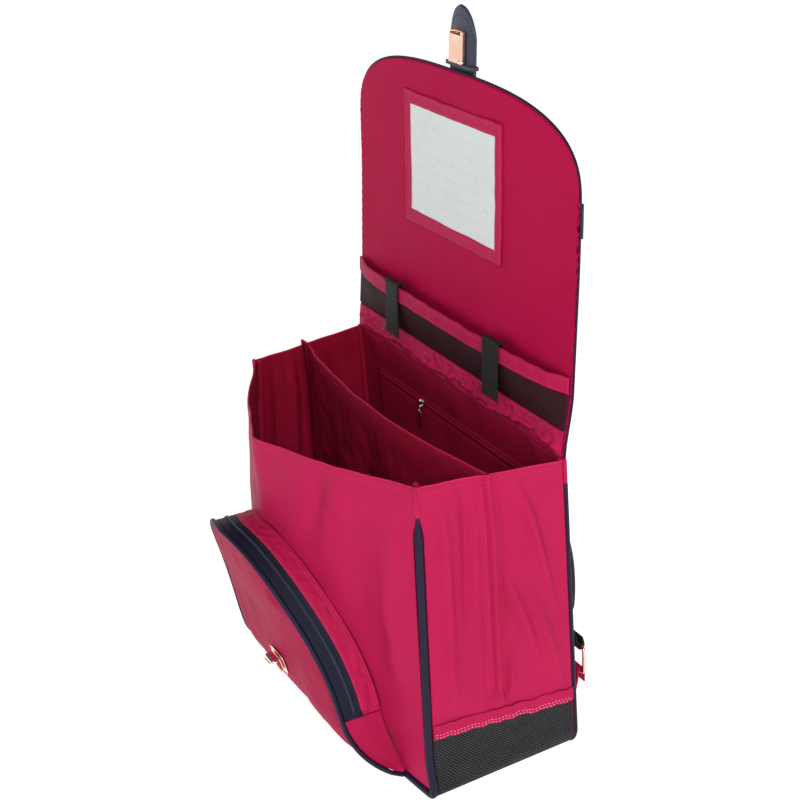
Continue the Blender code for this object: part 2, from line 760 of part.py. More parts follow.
def make_flap_pocket():
    """Net pocket across the flap with a stitched edge along its mouth."""
    share, t = np.meshgrid(np.linspace(-1.0, 1.0, 15), np.linspace(PLEAT_TOP, NET_TOP - GAP, 4))
    x = share * flap_width(t)
    sheet("flap_pocket_mesh", flap_point(x, t, net_out(share, t)), MESH_T, "black_net")
    share, t = np.meshgrid(np.linspace(-1.0, 1.0, 15), np.linspace(NET_TOP, NET_TOP + BINDING_H, 2))
    x = share * flap_width(t)
    out = net_out(share, t) + (BINDING_T - MESH_T) / 2
    sheet("flap_pocket_binding", flap_point(x, t, out), BINDING_T, "magenta_cloth")


def make_flap_straps():
    """Webbing that comes up inside the net pocket and folds down over its mouth."""
    mouth = NET_TOP + BINDING_H
    edges = (FLAP_STRAP_X + FLAP_STRAP_W * np.array((-0.5, 0.5))) / FLAP_HALF
    inside = MESH_T / 2 + GAP + WEBBING_T / 2 + FLAP_STRAP_LIFT
    outside = BINDING_T - MESH_T / 2 + GAP + WEBBING_T / 2 + FLAP_STRAP_LIFT
    pleats = FLAP_T / 2 + GAP + LINING_T + PLEAT_DEPTH + GAP + WEBBING_T / 2
    low_crown = float(net_out(edges[1], mouth)) - inside
    high_crown = float(net_out(edges[0], mouth)) + outside
    reach = (high_crown - low_crown) / 2
    rising = np.linspace(mouth - FLAP_STRAP_INSIDE, mouth, 5)[:-1]
    turn = np.linspace(math.pi, 0.0, 7)
    falling = np.linspace(mouth, FLAP_STRAP_FOOT, 9)[1:]
    t = np.concatenate((rising, mouth + reach * np.sin(turn), falling))
    out = np.concatenate((
        net_out(edges[1], rising) - inside,
        low_crown + reach * (1.0 + np.cos(turn)),
        np.maximum(net_out(edges[0], falling) + outside, pleats)))
    for side, word in ((1.0, "right"), (-1.0, "left")):
        x = side * FLAP_STRAP_X + FLAP_STRAP_W * np.array((-0.5, 0.5))[None, :]
        points = flap_point(x, t[:, None], out[:, None])
        sheet("flap_strap_" + word, points, WEBBING_T, "black_webbing")


def make_window():
    """Card window: a stitched frame with a clear sheet in it."""
    out = FLAP_T / 2 + GAP + WINDOW_FRAME_T / 2
    across = WINDOW_W / 2 + np.array((0.0, WINDOW_BORDER_X))
    along = WINDOW_H / 2 + np.array((0.0, WINDOW_BORDER_T))
    corners = np.array(((-1, -1), (0, -1), (1, -1), (1, 0), (1, 1), (0, 1), (-1, 1), (-1, 0)), float)
    points = []
    for wide, tall in zip(across, along):
        x = WINDOW_X + corners[:, 0] * wide
        t = WINDOW_T + corners[:, 1] * tall
        points.append(flap_point(x, t, out + 0.0 * x))
    count = len(corners)
    faces = [[index, (index + 1) % count, (index + 1) % count + count, index + count]
             for index in range(count)]
    obj = mesh_object("window_frame", np.concatenate(points), faces, "magenta_cloth")
    wall = obj.modifiers.new("wall", "SOLIDIFY")
    wall.thickness = WINDOW_FRAME_T
    wall.offset = 0.0
    wall.use_even_offset = True
    share, up = np.meshgrid(np.linspace(-1.0, 1.0, 3), np.linspace(-1.0, 1.0, 3))
    x = WINDOW_X + share * (WINDOW_W / 2 - GAP)
    t = WINDOW_T + up * (WINDOW_H / 2 - GAP)
    points = flap_point(x, t, FLAP_T / 2 + GAP + VINYL_T / 2 + 0.0 * x)
    sheet("window_sheet", points, VINYL_T, "clear_vinyl")


def tab_out():
    """Stand-off of the closure tab's middle surface, behind the flap."""
    return -(FLAP_T / 2 + GAP + LEATHER_T + GAP + TAB_T / 2)


def make_closure_tab():
    """Tab from the flap's outer face up past its top edge, to a rounded point."""
    share, up = np.meshgrid(np.sin(np.linspace(-0.5, 0.5, 9) * math.pi), np.linspace(0.0, 1.0, 8))
    end = FLAP_LENGTH + TAB_OVER
    point = TAB_POINT * (1.0 - np.sqrt(np.clip(1.0 - 0.96 * share ** 2, 0.0, 1.0)))
    t = lerp(TAB_FOOT, end - point, up)
    x = TAB_X + share * TAB_W / 2
    out = tab_out() - TAB_CURVE * share ** 2
    sheet("closure_tab", flap_point(x, t, out + 0.0 * t), TAB_T, "navy_leather")


def make_keeper():
    """Low loop that holds the tab just above the flap's edge."""
    low = FLAP_LENGTH + FLAP_EDGE + FLAP_PIPE_R + GAP
    front = tab_out() + TAB_T / 2 + GAP
    back = tab_out() - TAB_CURVE - TAB_T / 2 - GAP
    middle = (front + back) / 2
    depth = front - back
    frame = flap_matrix(TAB_X, low + KEEPER_H / 2, middle)
    loop = block("tab_keeper", (KEEPER_W, depth + 2.0 * KEEPER_BAR, KEEPER_H), "navy_leather", 0.0, frame)
    slot = block("keeper_slot", (TAB_W + 4.0 * GAP, depth, 3.0 * KEEPER_H), "navy_leather", 0.0, frame)
    cut(loop, slot)
    return low + KEEPER_H


def make_clasp(low):
    """Metal clasp on the tab: a channel plate, its pin and the lever that turns on it."""
    plate_out = tab_out() + TAB_T / 2 + GAP + CLASP_PLATE_T / 2
    axis_t = low + GAP + CLASP_BARREL_R
    axis_out = plate_out + CLASP_PLATE_T / 2 + GAP + CLASP_BARREL_R
    length = CLASP_LEVER_L + 2.0 * CLASP_BARREL_R
    cheek_out = CLASP_BARREL_R + CLASP_PIN_R + CLASP_CHEEK / 2
    depth = CLASP_PLATE_T + GAP + cheek_out
    middle_out = plate_out - CLASP_PLATE_T / 2 + depth / 2
    middle_t = low + GAP + length / 2
    base = block("clasp_base", (CLASP_W, depth, length), "rose_gold", 0.0,
                 flap_matrix(TAB_X, middle_t, middle_out))
    inside = CLASP_W - 2.0 * CLASP_CHEEK
    channel = block("clasp_channel", (inside, depth, 2.0 * length), "rose_gold", 0.0,
                    flap_matrix(TAB_X, middle_t, middle_out + CLASP_PLATE_T))
    cut(base, channel)
    hinge = flap_matrix(TAB_X, axis_t, axis_out).translation
    bore = CLASP_PIN_R + CLASP_RUN
    cut(base, cross_rod("clasp_base_bore", bore, 2.0 * CLASP_W, "rose_gold", 12, hinge))
    cross_rod("clasp_pin", CLASP_PIN_R, CLASP_W, "rose_gold", 12, hinge)
    pivot = bpy.data.objects.new("clasp_axis", None)
    pivot.location = hinge
    bpy.context.collection.objects.link(pivot)
    lever = make_lever(inside - 2.0 * CLASP_SIDE_RUN)
    lever.parent = pivot
    lever.rotation_euler = (-LEAN, 0.0, 0.0)
    cut(lever, cross_rod("clasp_lever_bore", bore, 2.0 * CLASP_W, "rose_gold", 12, hinge))


def make_lever(width):
    """Lever plate with a round barrel about the origin, drawn as its side and extruded."""
    radius = CLASP_BARREL_R
    face = -radius
    inner = face + CLASP_LEVER_T
    profile = [(face, CLASP_LEVER_L - CLASP_LEVER_T), (face, 0.0)]
    for turn in np.linspace(math.pi, 2.0 * math.pi, 9)[1:]:
        profile.append((radius * math.cos(turn), radius * math.sin(turn)))
    profile += [(inner + CLASP_EASE, radius), (inner, radius + 2.0 * CLASP_EASE), (inner, CLASP_LEVER_L)]
    profile += [(face + CLASP_EASE, CLASP_LEVER_L)]
    body = bmesh.new()
    ring = [body.verts.new((-width / 2, y, z)) for y, z in profile]
    face_made = body.faces.new(ring)
    extruded = bmesh.ops.extrude_face_region(body, geom=[face_made])
    moved = [item for item in extruded["geom"] if isinstance(item, bmesh.types.BMVert)]
    bmesh.ops.translate(body, vec=Vector((width, 0.0, 0.0)), verts=moved)
    bmesh.ops.recalc_face_normals(body, faces=body.faces)
    mesh = bpy.data.meshes.new("clasp_lever")
    body.to_mesh(mesh)
    body.free()
    obj = bpy.data.objects.new("clasp_lever", mesh)
    bpy.context.collection.objects.link(obj)
    return dress(obj, "rose_gold")


def make_outer_band():
    """Leather band across the outer face of the flap."""
    share, t = np.meshgrid(
        np.linspace(-1.0, 1.0, 7), BAND_T + BAND_W * np.array((-0.5, 0.5)))
    x = share * (FLAP_HALF + FLAP_EDGE)
    out = -(FLAP_T / 2 + GAP + LEATHER_T / 2)
    sheet("outer_band", flap_point(x, t, out + 0.0 * x), LEATHER_T, "navy_leather")


def make_handle():
    """Carry handle: an arched grip with its two flat ends on the outer face."""
    turn = np.linspace(0.0, math.pi, 11)
    across = HANDLE_X * np.cos(turn)
    lift = HANDLE_RISE * np.sin(turn) ** HANDLE_SQUARE
    ends = HANDLE_X + HANDLE_END * np.array((1.0, 0.4))
    across = np.concatenate((ends, across, -ends[::-1]))
    lift = np.concatenate((np.zeros(2), lift, np.zeros(2)))
    thick = lerp(LEATHER_T, HANDLE_THICK, smooth(lift / (0.5 * HANDLE_RISE)))
    seat = FLAP_T / 2 + GAP
    t = HANDLE_T + HANDLE_W * np.array((-0.5, 0.5))[None, :]
    x = across[:, None] + 0.0 * t
    inner = flap_point(x, t + 0.0 * x, -(seat + lift[:, None]) + 0.0 * x)
    run = np.gradient(across)
    climb = np.gradient(lift)
    size = np.hypot(run, climb)
    outer_x = across + thick * climb / size
    outer_lift = lift - thick * run / size
    outer = flap_point(outer_x[:, None] + 0.0 * t, t + 0.0 * x, -(seat + outer_lift[:, None]) + 0.0 * x)
    slab("handle", inner, outer, "navy_leather")


# Front pocket

def pocket_flare(z):
    """Widening of the pocket below the spring of its arch."""
    low = np.clip((POCKET_SPRING_Z - z) / (POCKET_SPRING_Z - POCKET_FOOT_Z), 0.0, 1.0)
    return (POCKET_FOOT_HALF - POCKET_HALF) * low ** POCKET_FLARE_POWER


def pocket_depth(z):
    """How far the pocket's walls stand out: less at the foot, full from its lower third."""
    rise = 1.0 - np.exp(-(z - POCKET_FOOT_Z + POCKET_DEPTH_START) / POCKET_DEPTH_RISE)
    return np.maximum(POCKET_DEPTH * rise, wall_start() + POCKET_MIN_WALL + GAP + POCKET_PIPE_R)


def wall_start():
    """Stand-off at which the pocket's walls begin, clear of the front wall."""
    return CLOTH_T / 2 + 2.0 * GAP


def pocket_half(z):
    """Half-width of the pocket's outline at a height, up to its crown."""
    climb = np.clip((z - POCKET_SPRING_Z) / POCKET_RISE, 0.0, 1.0)
    return POCKET_HALF * np.sqrt(1.0 - climb ** 2) + pocket_flare(z)


def pocket_arch(inset, foot, side_steps, arch_steps):
    """Points (x, z) of the pocket's outline, right foot over the crown to left foot."""
    side = np.linspace(foot, POCKET_SPRING_Z, side_steps + 1)[:-1]
    turn = np.linspace(0.0, math.pi, arch_steps + 1)
    half = POCKET_HALF + pocket_flare(side) - inset
    x = np.concatenate((half, (POCKET_HALF - inset) * np.cos(turn), -half[::-1]))
    z = np.concatenate((side, POCKET_SPRING_Z + (POCKET_RISE - inset) * np.sin(turn), side[::-1]))
    return x, z


def pocket_wall(name, outline, low, high, thickness, finish, rows=2):
    """Strip of the pocket's wall between two stand-offs from the front wall."""
    x, z = outline
    share = np.linspace(0.0, 1.0, rows)[:, None]
    y = front_y(x, z) - lerp(low, high, share)
    sheet(name, np.stack(np.broadcast_arrays(x, y, z), -1), thickness, finish)


def pocket_rim(x, z):
    """Stand-off at which a wall ends, clear of the piping that runs along it."""
    y = front_y(x, z) - pocket_depth(z)
    slope = np.gradient(y) / np.hypot(np.gradient(x), np.gradient(z))
    return pocket_depth(z) - (POCKET_PIPE_R + GAP) * np.sqrt(1.0 + slope ** 2)


def make_pocket_walls():
    """Cloth band, zip tape with its teeth, and the corner pieces below them."""
    inset = CLOTH_T / 2
    arch = pocket_arch(inset, POCKET_SPRING_Z, 0, 28)
    rim = pocket_rim(*arch)
    pocket_wall("pocket_band", arch, wall_start(), POCKET_BAND_W, CLOTH_T, "magenta_cloth")
    pocket_wall("pocket_zip_tape", arch, POCKET_BAND_W + GAP, rim, TAPE_T, "navy_cloth", 3)
    line = pocket_arch(inset - TAPE_T / 2 - GAP - ZIP_TEETH_T / 2, POCKET_SPRING_Z, 0, 28)
    middle = (POCKET_BAND_W + rim) / 2
    pocket_wall("pocket_zip_teeth", line, middle - ZIP_TEETH_W / 2, middle + ZIP_TEETH_W / 2,
                ZIP_TEETH_T, "navy_cloth")
    heights = np.linspace(POCKET_FOOT_Z, POCKET_SPRING_Z - 2.0 * GAP, POCKET_SIDE_STEPS + 1)
    half = POCKET_HALF + pocket_flare(heights) - inset
    high = np.maximum(pocket_rim(half, heights), wall_start() + POCKET_MIN_WALL)
    for side, word in ((1.0, "right"), (-1.0, "left")):
        pocket_wall("pocket_corner_" + word, (side * half, heights), wall_start(), high, CLOTH_T,
                    "magenta_cloth")


def make_pocket_piping():
    """Tube round the edge of the pocket's face."""
    x, z = pocket_arch(0.0, POCKET_FOOT_Z, POCKET_SIDE_STEPS, 30)
    y = front_y(x, z) - pocket_depth(z)
    tube("pocket_piping", np.stack((x, y, z), -1), POCKET_PIPE_R, "navy_cloth", 0)


def face_y(x, z):
    """Depth of the pocket's face: straight from edge to edge at each height, and domed."""
    half = pocket_half(z)
    share = np.clip(np.abs(x) / np.maximum(half, GAP), 0.0, 1.0)
    up = np.clip((z - POCKET_FOOT_Z) / (POCKET_SPRING_Z + POCKET_RISE - POCKET_FOOT_Z), 0.0, 1.0)
    dome = POCKET_DOME * (1.0 - share ** 4) * np.sin(math.pi * up) ** POCKET_DOME_POWER
    return front_y(half, z) - pocket_depth(z) - dome


def make_pocket_face():
    """Domed face inside the pocket's piping."""
    inset = POCKET_PIPE_R + 2.0 * GAP
    share, up = np.meshgrid(np.sin(np.linspace(-0.5, 0.5, 17) * math.pi), np.linspace(0.0, 1.0, 12))
    crown = POCKET_SPRING_Z + (POCKET_RISE - inset) * np.sqrt(np.clip(1.0 - share ** 2, 0.0, 1.0))
    z = lerp(POCKET_FOOT_Z, crown, up)
    low = np.clip((POCKET_SPRING_Z - z) / (POCKET_SPRING_Z - POCKET_FOOT_Z), 0.0, 1.0)
    spread = (POCKET_FOOT_HALF - POCKET_HALF) / (POCKET_SPRING_Z - POCKET_FOOT_Z)
    slope = spread * POCKET_FLARE_POWER * low ** (POCKET_FLARE_POWER - 1.0)
    x = share * (POCKET_HALF + pocket_flare(z) - inset * np.sqrt(1.0 + slope ** 2))
    sheet("pocket_face", np.stack((x, face_y(x, z), z), -1), CLOTH_T, "magenta_cloth")


def make_pocket_pull():
    """Pull of the pocket's zip, hanging near the left end of the tape."""
    z = POCKET_SPRING_Z + POCKET_PULL_RISE
    seat = TAPE_T / 2 + 2.0 * GAP + ZIP_TEETH_T - CLOTH_T / 2
    turn = math.asin((POCKET_PULL_RISE - SLIDER_H / 2) / (POCKET_RISE + seat))
    x = -(POCKET_HALF + seat) * math.cos(turn)
    y = float(front_y(x, z)) - lerp(POCKET_BAND_W, float(pocket_depth(z)), POCKET_PULL_SHARE)
    make_pull("pocket_zip_pull", Vector((x, y, z)), -math.pi / 2)


def make_lock():
    """Lock on the middle of the pocket's face: a plate and a case."""
    low, middle, high = face_y(0.0, LOCK_Z + LOCK_PLATE_H * np.array((-0.5, 0.0, 0.5)))
    tilt = math.atan2(high - low, LOCK_PLATE_H)
    seat = Matrix.Translation((0.0, float(middle), LOCK_Z)) @ Matrix.Rotation(-tilt, 4, "X")
    plate_y = -(CLOTH_T / 2 + 2.0 * GAP + LOCK_PLATE_T / 2)
    block("lock_plate", (LOCK_PLATE_W, LOCK_PLATE_T, LOCK_PLATE_H), "rose_gold", LOCK_PLATE_BEVEL,
          seat @ Matrix.Translation((0.0, plate_y, 0.0)))
    case_y = plate_y - LOCK_PLATE_T / 2 - GAP - LOCK_D / 2
    block("lock_case", (LOCK_W, LOCK_D, LOCK_H), "rose_gold", LOCK_BEVEL,
          seat @ Matrix.Translation((0.0, case_y, 0.0)))


# Back of the bag

def back_face(z):
    """Outer face of the back wall."""
    return back_y(z) + BACK_T / 2


def make_back_pad():
    """Padded panel on the back, thin at its edge and full in the middle."""
    share, up = np.meshgrid(np.linspace(-1.0, 1.0, 9), np.linspace(-1.0, 1.0, 9))
    x = share * PAD_HALF
    z = lerp(PAD_FOOT, PAD_TOP, (up + 1.0) / 2.0)
    swell = ((1.0 - share ** 6) * (1.0 - up ** 6)) ** 0.5
    inner = np.stack((x, back_face(z) + GAP, z), -1)
    outer = np.stack((x, back_face(z) + GAP + lerp(0.25, 1.0, swell) * PAD_T, z), -1)
    slab("back_pad", inner, outer, "black_net")


def strap_route():
    """Middle line, stand-off and width of the right shoulder strap."""
    table = np.array(STRAP_ROUTE)
    steps = np.linspace(0.0, len(table) - 1.0, 13)
    rows = [np.interp(steps, np.arange(len(table)), table[:, column]) for column in range(4)]
    across, height, stand, width = rows
    x = across * BACK_HALF
    z = height * HEIGHT
    seat = back_face(z) + 2.0 * GAP + PAD_T + STRAP_STAND * stand
    return x, seat, z, width * STRAP_W


def make_shoulder_straps():
    """Padded shoulder straps lying down the back."""
    x, seat, z, width = strap_route()
    run = np.stack((np.gradient(x), np.gradient(z)), -1)
    run /= np.linalg.norm(run, axis=1)[:, None]
    shares = np.linspace(-1.0, 1.0, 7)[None, :]
    across_x = x[:, None] - run[:, 1:] * shares * width[:, None] / 2
    across_z = z[:, None] + run[:, :1] * shares * width[:, None] / 2
    swell = STRAP_T * lerp(0.30, 1.0, (1.0 - shares ** 4))
    inner = np.stack((across_x, seat[:, None] + 0.0 * shares, across_z), -1)
    outer = np.stack((across_x, seat[:, None] + swell, across_z), -1)
    for side, word in ((1.0, "right"), (-1.0, "left")):
        turn = np.array((side, 1.0, 1.0))
        slab("shoulder_strap_" + word, inner * turn, outer * turn, "black_webbing")


def ring_y():
    """Depth of the strap rings' plane."""
    return float(back_face(RING_Z)) + RING_STAND


def ring_room():
    """Width of what passes through a ring, between the rounds of its corners."""
    return RING_W - 2.0 * (RING_R + RING_CORNER)


def make_strap_ends():
    """Webbing, ring and cloth anchor tab at the foot of each shoulder strap."""
    x, seat, z, width = strap_route()
    end_y = float(seat[-1]) - GAP - WEBBING_T / 2
    ring_x = ANCHOR_X - RING_SHIFT
    top_bar = RING_Z + RING_H / 2 - RING_R
    low_bar = RING_Z - RING_H / 2 + RING_R
    clear = RING_R + GAP + WEBBING_T / 2 + LOOP_EASE
    loop = [(float(z[-2]), end_y), (top_bar + WEBBING_TAIL, lerp(end_y, ring_y() - clear, 0.8)),
            (top_bar, ring_y() - clear)]
    for angle in np.linspace(0.0, math.pi, 7)[1:]:
        loop.append((top_bar - clear * math.sin(angle), ring_y() - clear * math.cos(angle)))
    loop.append((top_bar + WEBBING_TAIL, ring_y() + clear))
    loop = np.array(loop)
    bend = smooth((loop[:, :1] - top_bar) / (loop[0, 0] - top_bar))
    for side, word in ((1.0, "right"), (-1.0, "left")):
        middle = lerp(ring_x, float(x[-2]), bend)
        across = side * (middle + np.array((-0.5, 0.5))[None, :] * ring_room())
        points = np.stack((across, loop[:, 1:] + 0.0 * across, loop[:, :1] + 0.0 * across), -1)
        sheet("strap_webbing_" + word, points, WEBBING_T, "black_webbing")
        make_ring("strap_ring_" + word, side * ring_x)
        make_anchor("anchor_tab_" + word, side, ring_x, low_bar)


def make_ring(name, x):
    """Rectangular metal ring with round corners."""
    half_w = RING_W / 2 - RING_R
    half_h = RING_H / 2 - RING_R
    points = []
    for sign_x, sign_z, first in ((1, 1, 0.0), (-1, 1, 0.5), (-1, -1, 1.0), (1, -1, 1.5)):
        for step in range(3):
            turn = math.pi * (first + 0.25 * step)
            points.append((x + sign_x * (half_w - RING_CORNER) + RING_CORNER * math.cos(turn), ring_y(),
                           RING_Z + sign_z * (half_h - RING_CORNER) + RING_CORNER * math.sin(turn)))
    obj = tube(name, points, RING_R, "rose_gold", 0)
    obj.data.splines[0].use_cyclic_u = True


def make_anchor(name, side, ring_x, low_bar):
    """Cloth tab from the back wall, up round the ring's lower bar."""
    clear = RING_R + GAP + CLOTH_T / 2 + LOOP_EASE
    low_y = float(back_face(np.array(ANCHOR_FOOT))) + GAP + CLOTH_T / 2
    loop = [(ANCHOR_FOOT, low_y), (ANCHOR_FOOT + 0.5 * ANCHOR_TAIL, low_y + GAP),
            (low_bar - 0.5 * ANCHOR_TAIL, ring_y() - clear - GAP), (low_bar, ring_y() - clear)]
    for angle in np.linspace(0.0, math.pi, 7)[1:]:
        loop.append((low_bar + clear * math.sin(angle), ring_y() - clear * math.cos(angle)))
    loop.append((low_bar - ANCHOR_TAIL, ring_y() + clear))
    loop = np.array(loop)
    across = side * (ring_x + np.array((-0.5, 0.5))[None, :] * ring_room()) + 0.0 * loop[:, :1]
    points = np.stack((across, loop[:, 1:] + 0.0 * across, loop[:, :1] + 0.0 * across), -1)
    sheet(name, points, CLOTH_T, "magenta_cloth")


def main():
    """Build the whole bag in an emptied scene."""
    for old in list(bpy.data.objects):
        bpy.data.objects.remove(old, do_unlink=True)
    make_front_panel()
    make_gussets()
    make_back_panel()
    make_base_band()
    make_hems()
    make_front_piping()
    make_back_piping()
    make_corner_tacks()
    make_divider()
    make_inner_pocket()
    make_flap_panel()
    make_flap_piping()
    make_hinge_strip()
    make_flap_pocket()
    make_flap_straps()
    make_window()
    make_closure_tab()
    make_clasp(make_keeper())
    make_outer_band()
    make_handle()
    make_pocket_walls()
    make_pocket_piping()
    make_pocket_face()
    make_pocket_pull()
    make_lock()
    make_back_pad()
    make_shoulder_straps()
    make_strap_ends()
    bpy.context.view_layer.update()


main()
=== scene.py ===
"""Looks of the school ransel: satin cloth, piping, stitching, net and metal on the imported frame.

Metres, +Z up, in the frame's own place: the bag stands on z = 0 and its front faces -Y.
"""
import logging
import math
from dataclasses import dataclass
from enum import Enum
from typing import Callable, Dict, List, Optional, Sequence, Tuple, Union

import bpy
import numpy as np
from mathutils import Matrix, Vector

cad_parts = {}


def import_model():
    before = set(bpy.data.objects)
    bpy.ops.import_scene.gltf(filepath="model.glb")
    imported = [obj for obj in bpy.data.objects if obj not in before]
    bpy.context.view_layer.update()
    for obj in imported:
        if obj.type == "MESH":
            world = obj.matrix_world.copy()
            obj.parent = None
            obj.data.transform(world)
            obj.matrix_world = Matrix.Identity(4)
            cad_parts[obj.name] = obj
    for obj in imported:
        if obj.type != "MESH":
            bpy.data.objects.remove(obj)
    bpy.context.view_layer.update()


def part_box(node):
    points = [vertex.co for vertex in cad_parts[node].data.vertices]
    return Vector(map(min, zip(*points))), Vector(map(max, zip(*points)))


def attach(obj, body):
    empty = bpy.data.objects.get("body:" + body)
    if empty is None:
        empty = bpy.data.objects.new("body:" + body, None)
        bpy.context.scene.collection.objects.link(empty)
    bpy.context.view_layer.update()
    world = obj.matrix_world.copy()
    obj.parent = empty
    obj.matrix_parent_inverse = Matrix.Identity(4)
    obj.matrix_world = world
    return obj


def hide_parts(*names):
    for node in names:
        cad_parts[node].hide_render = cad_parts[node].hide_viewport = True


LOG = logging.getLogger("ransel")
MM = 0.001
GAP = 0.3 * MM
TURN = 2.0 * math.pi
THREAD = 0.1 * MM  # height of a thread's middle over its cloth
UP = (0.0, 0.0, 1.0)
SIDES = ((1.0, "right"), (-1.0, "left"))
Array = np.ndarray
Colour = Tuple[float, float, float]
Finish = bpy.types.Material
Piece = bpy.types.Object
Line = Tuple[Array, Array]
Table = Tuple[Tuple[float, ...], ...]
Formula = Callable[[Array, Array], Array]


# Arithmetic

def lerp(start: Union[float, Array], end: Union[float, Array], share: Union[float, Array]) -> Array:
    """Straight blend: start + (end - start) * share."""
    return start + (end - start) * share


def smooth(share: Union[float, Array]) -> Array:
    """Soft step: 3 s^2 - 2 s^3 with s held between 0 and 1."""
    share = np.clip(share, 0.0, 1.0)
    return share * share * (3.0 - 2.0 * share)


def unit(vectors: Array) -> Array:
    """Vectors divided by their own length."""
    return vectors / np.maximum(np.linalg.norm(vectors, axis=-1, keepdims=True), 1e-12)


def turns(count: int) -> Array:
    """Angles once round in equal steps, without the last."""
    return np.linspace(0.0, TURN, count + 1)[:-1]


def squared(wave: Array, power: float) -> Array:
    """Signed power of a sine or cosine, sign(w) |w|^power, which squares a round outline."""
    return np.sign(wave) * np.abs(wave) ** power


def lengths(points: Array) -> Array:
    """Length along a line of points, from 0 at its start."""
    return np.concatenate(((0.0,), np.cumsum(np.linalg.norm(np.diff(points, axis=0), axis=1))))


def read_along(at: Array, run: Array, values: Array) -> Array:
    """Rows of values at some lengths along a line."""
    return np.stack([np.interp(at, run, values[:, axis]) for axis in range(values.shape[1])], -1)


def between(share: Array, soft: float) -> Array:
    """Soft step up from 0 and down to 1: smooth(s / soft) * smooth((1 - s) / soft)."""
    return smooth(share / soft) * smooth((1.0 - share) / soft)


def inward(share: Array, soft: float) -> Array:
    """Soft step in from both sides of -1 to 1: smooth((1 - |s|) / soft)."""
    return smooth((1.0 - np.abs(share)) / soft)


def places(x: Array, y: Array, z: Array) -> Array:
    """Places from their three parts, each spread over the others."""
    return np.stack(np.broadcast_arrays(x, y, z), -1)


def mirrored(points: Array) -> Array:
    """The other side's twin of a grid, with its columns turned round to keep its facing."""
    return points[:, ::-1] * np.array((-1.0, 1.0, 1.0))


def ripples(x: Array, y: Array, size: float, seed: int) -> Array:
    """Irregular soft waves between about -1 and 1.

    The mean of seven sine waves in seeded directions, each bent by a slower sine of the
    other coordinate, with lengths of 0.6 to 1.6 times the size.

    Args:
        x: First coordinate, in metres.
        y: Second coordinate, in metres.
        size: Usual length of a wave, in metres.
        seed: Seed of the directions and phases.

    Returns:
        Height of the waves at each point.
    """
    draw = np.random.default_rng(seed)
    total = np.zeros(np.broadcast(x, y).shape)
    for angle, stretch, phase, bend in draw.uniform(0.0, 1.0, (7, 4)):
        length = size * lerp(0.6, 1.6, stretch)
        along = x * math.cos(math.pi * angle) + y * math.sin(math.pi * angle)
        across = y * math.cos(math.pi * angle) - x * math.sin(math.pi * angle)
        warp = 1.2 * np.sin(TURN * (across / (2.3 * size) + bend))
        total = total + np.sin(TURN * (along / length + phase) + warp)
    return total / 3.2


def folds(table: Sequence[Tuple[float, ...]], across: Array, along: Array) -> Array:
    """Sum of a table's folds, each exp(-(side / width)^2 - (run / length)^2) along its own line."""
    total = np.zeros(np.broadcast(across, along).shape)
    for across_at, along_at, lean, half_length, half_width, height in table:
        turn = math.radians(lean)
        side = (across - across_at) * math.cos(turn) - (along - along_at) * math.sin(turn)
        run = (across - across_at) * math.sin(turn) + (along - along_at) * math.cos(turn)
        total = total + height * np.exp(-(side / half_width) ** 2 - (run / half_length) ** 2)
    return total


# Meshes

def make_object(name: str, vertices: Array, faces: List[List[int]], loop_uv: Optional[Array],
                materials: Sequence[Finish],
                lined: Optional[Array] = None) -> Piece:
    """Object at the origin from whole arrays.

    Args:
        name: Name of the object.
        vertices: Corner places, one row each.
        faces: Vertex numbers of each face.
        loop_uv: Pattern place of each face corner, in metres.
        materials: Finish of the outside and, where given, of the faces that are lined.
        lined: Number of the material of each face.

    Returns:
        The new object, shaded smooth.
    """
    mesh = bpy.data.meshes.new(name)
    mesh.from_pydata(vertices.reshape(-1, 3).tolist(), [], faces)
    if loop_uv is not None:
        layer = mesh.uv_layers.new(name="pattern")
        layer.data.foreach_set("uv", loop_uv.astype(np.float32).ravel())
    for material in materials:
        mesh.materials.append(material)
    if lined is not None:
        mesh.polygons.foreach_set("material_index", lined.astype(np.int32))
    mesh.shade_smooth()
    mesh.update()
    obj = bpy.data.objects.new(name, mesh)
    bpy.context.scene.collection.objects.link(obj)
    return obj


def quads(rows: int, columns: int, wrap_rows: bool = False, wrap_columns: bool = False,
          start: int = 0) -> Tuple[Array, Array]:
    """Faces of a grid whose points run along the columns first.

    Args:
        rows: Rows of points.
        columns: Columns of points.
        wrap_rows: Whether the last row joins the first.
        wrap_columns: Whether the last column joins the first.
        start: Number of the first point.

    Returns:
        The four point numbers of each face, and the row and column of each of its corners,
        where a seam counts on past the last.
    """
    row, column = np.meshgrid(np.arange(rows if wrap_rows else rows - 1),
                              np.arange(columns if wrap_columns else columns - 1), indexing="ij")
    at = np.stack((np.stack((row, row, row + 1, row + 1), -1),
                   np.stack((column, column + 1, column + 1, column), -1)), -1).reshape(-1, 4, 2)
    return start + (at[..., 0] % rows) * columns + at[..., 1] % columns, at


def spans(points: Array, axis: int) -> Array:
    """Mean length along one axis of a grid, added up from its start, with one step past its end."""
    steps = np.linalg.norm(np.diff(points, axis=axis), axis=-1).mean(axis=1 - axis)
    return np.concatenate(((0.0,), np.cumsum(steps), (steps.sum() + steps[-1],)))


def metre_map(points: Array, at: Array) -> Array:
    """Pattern place of each face corner: the mean lengths along the columns and the rows."""
    rows = spans(points, 0)
    columns = spans(points, 1)
    return np.stack((columns[at[..., 1]], rows[at[..., 0]]), -1)


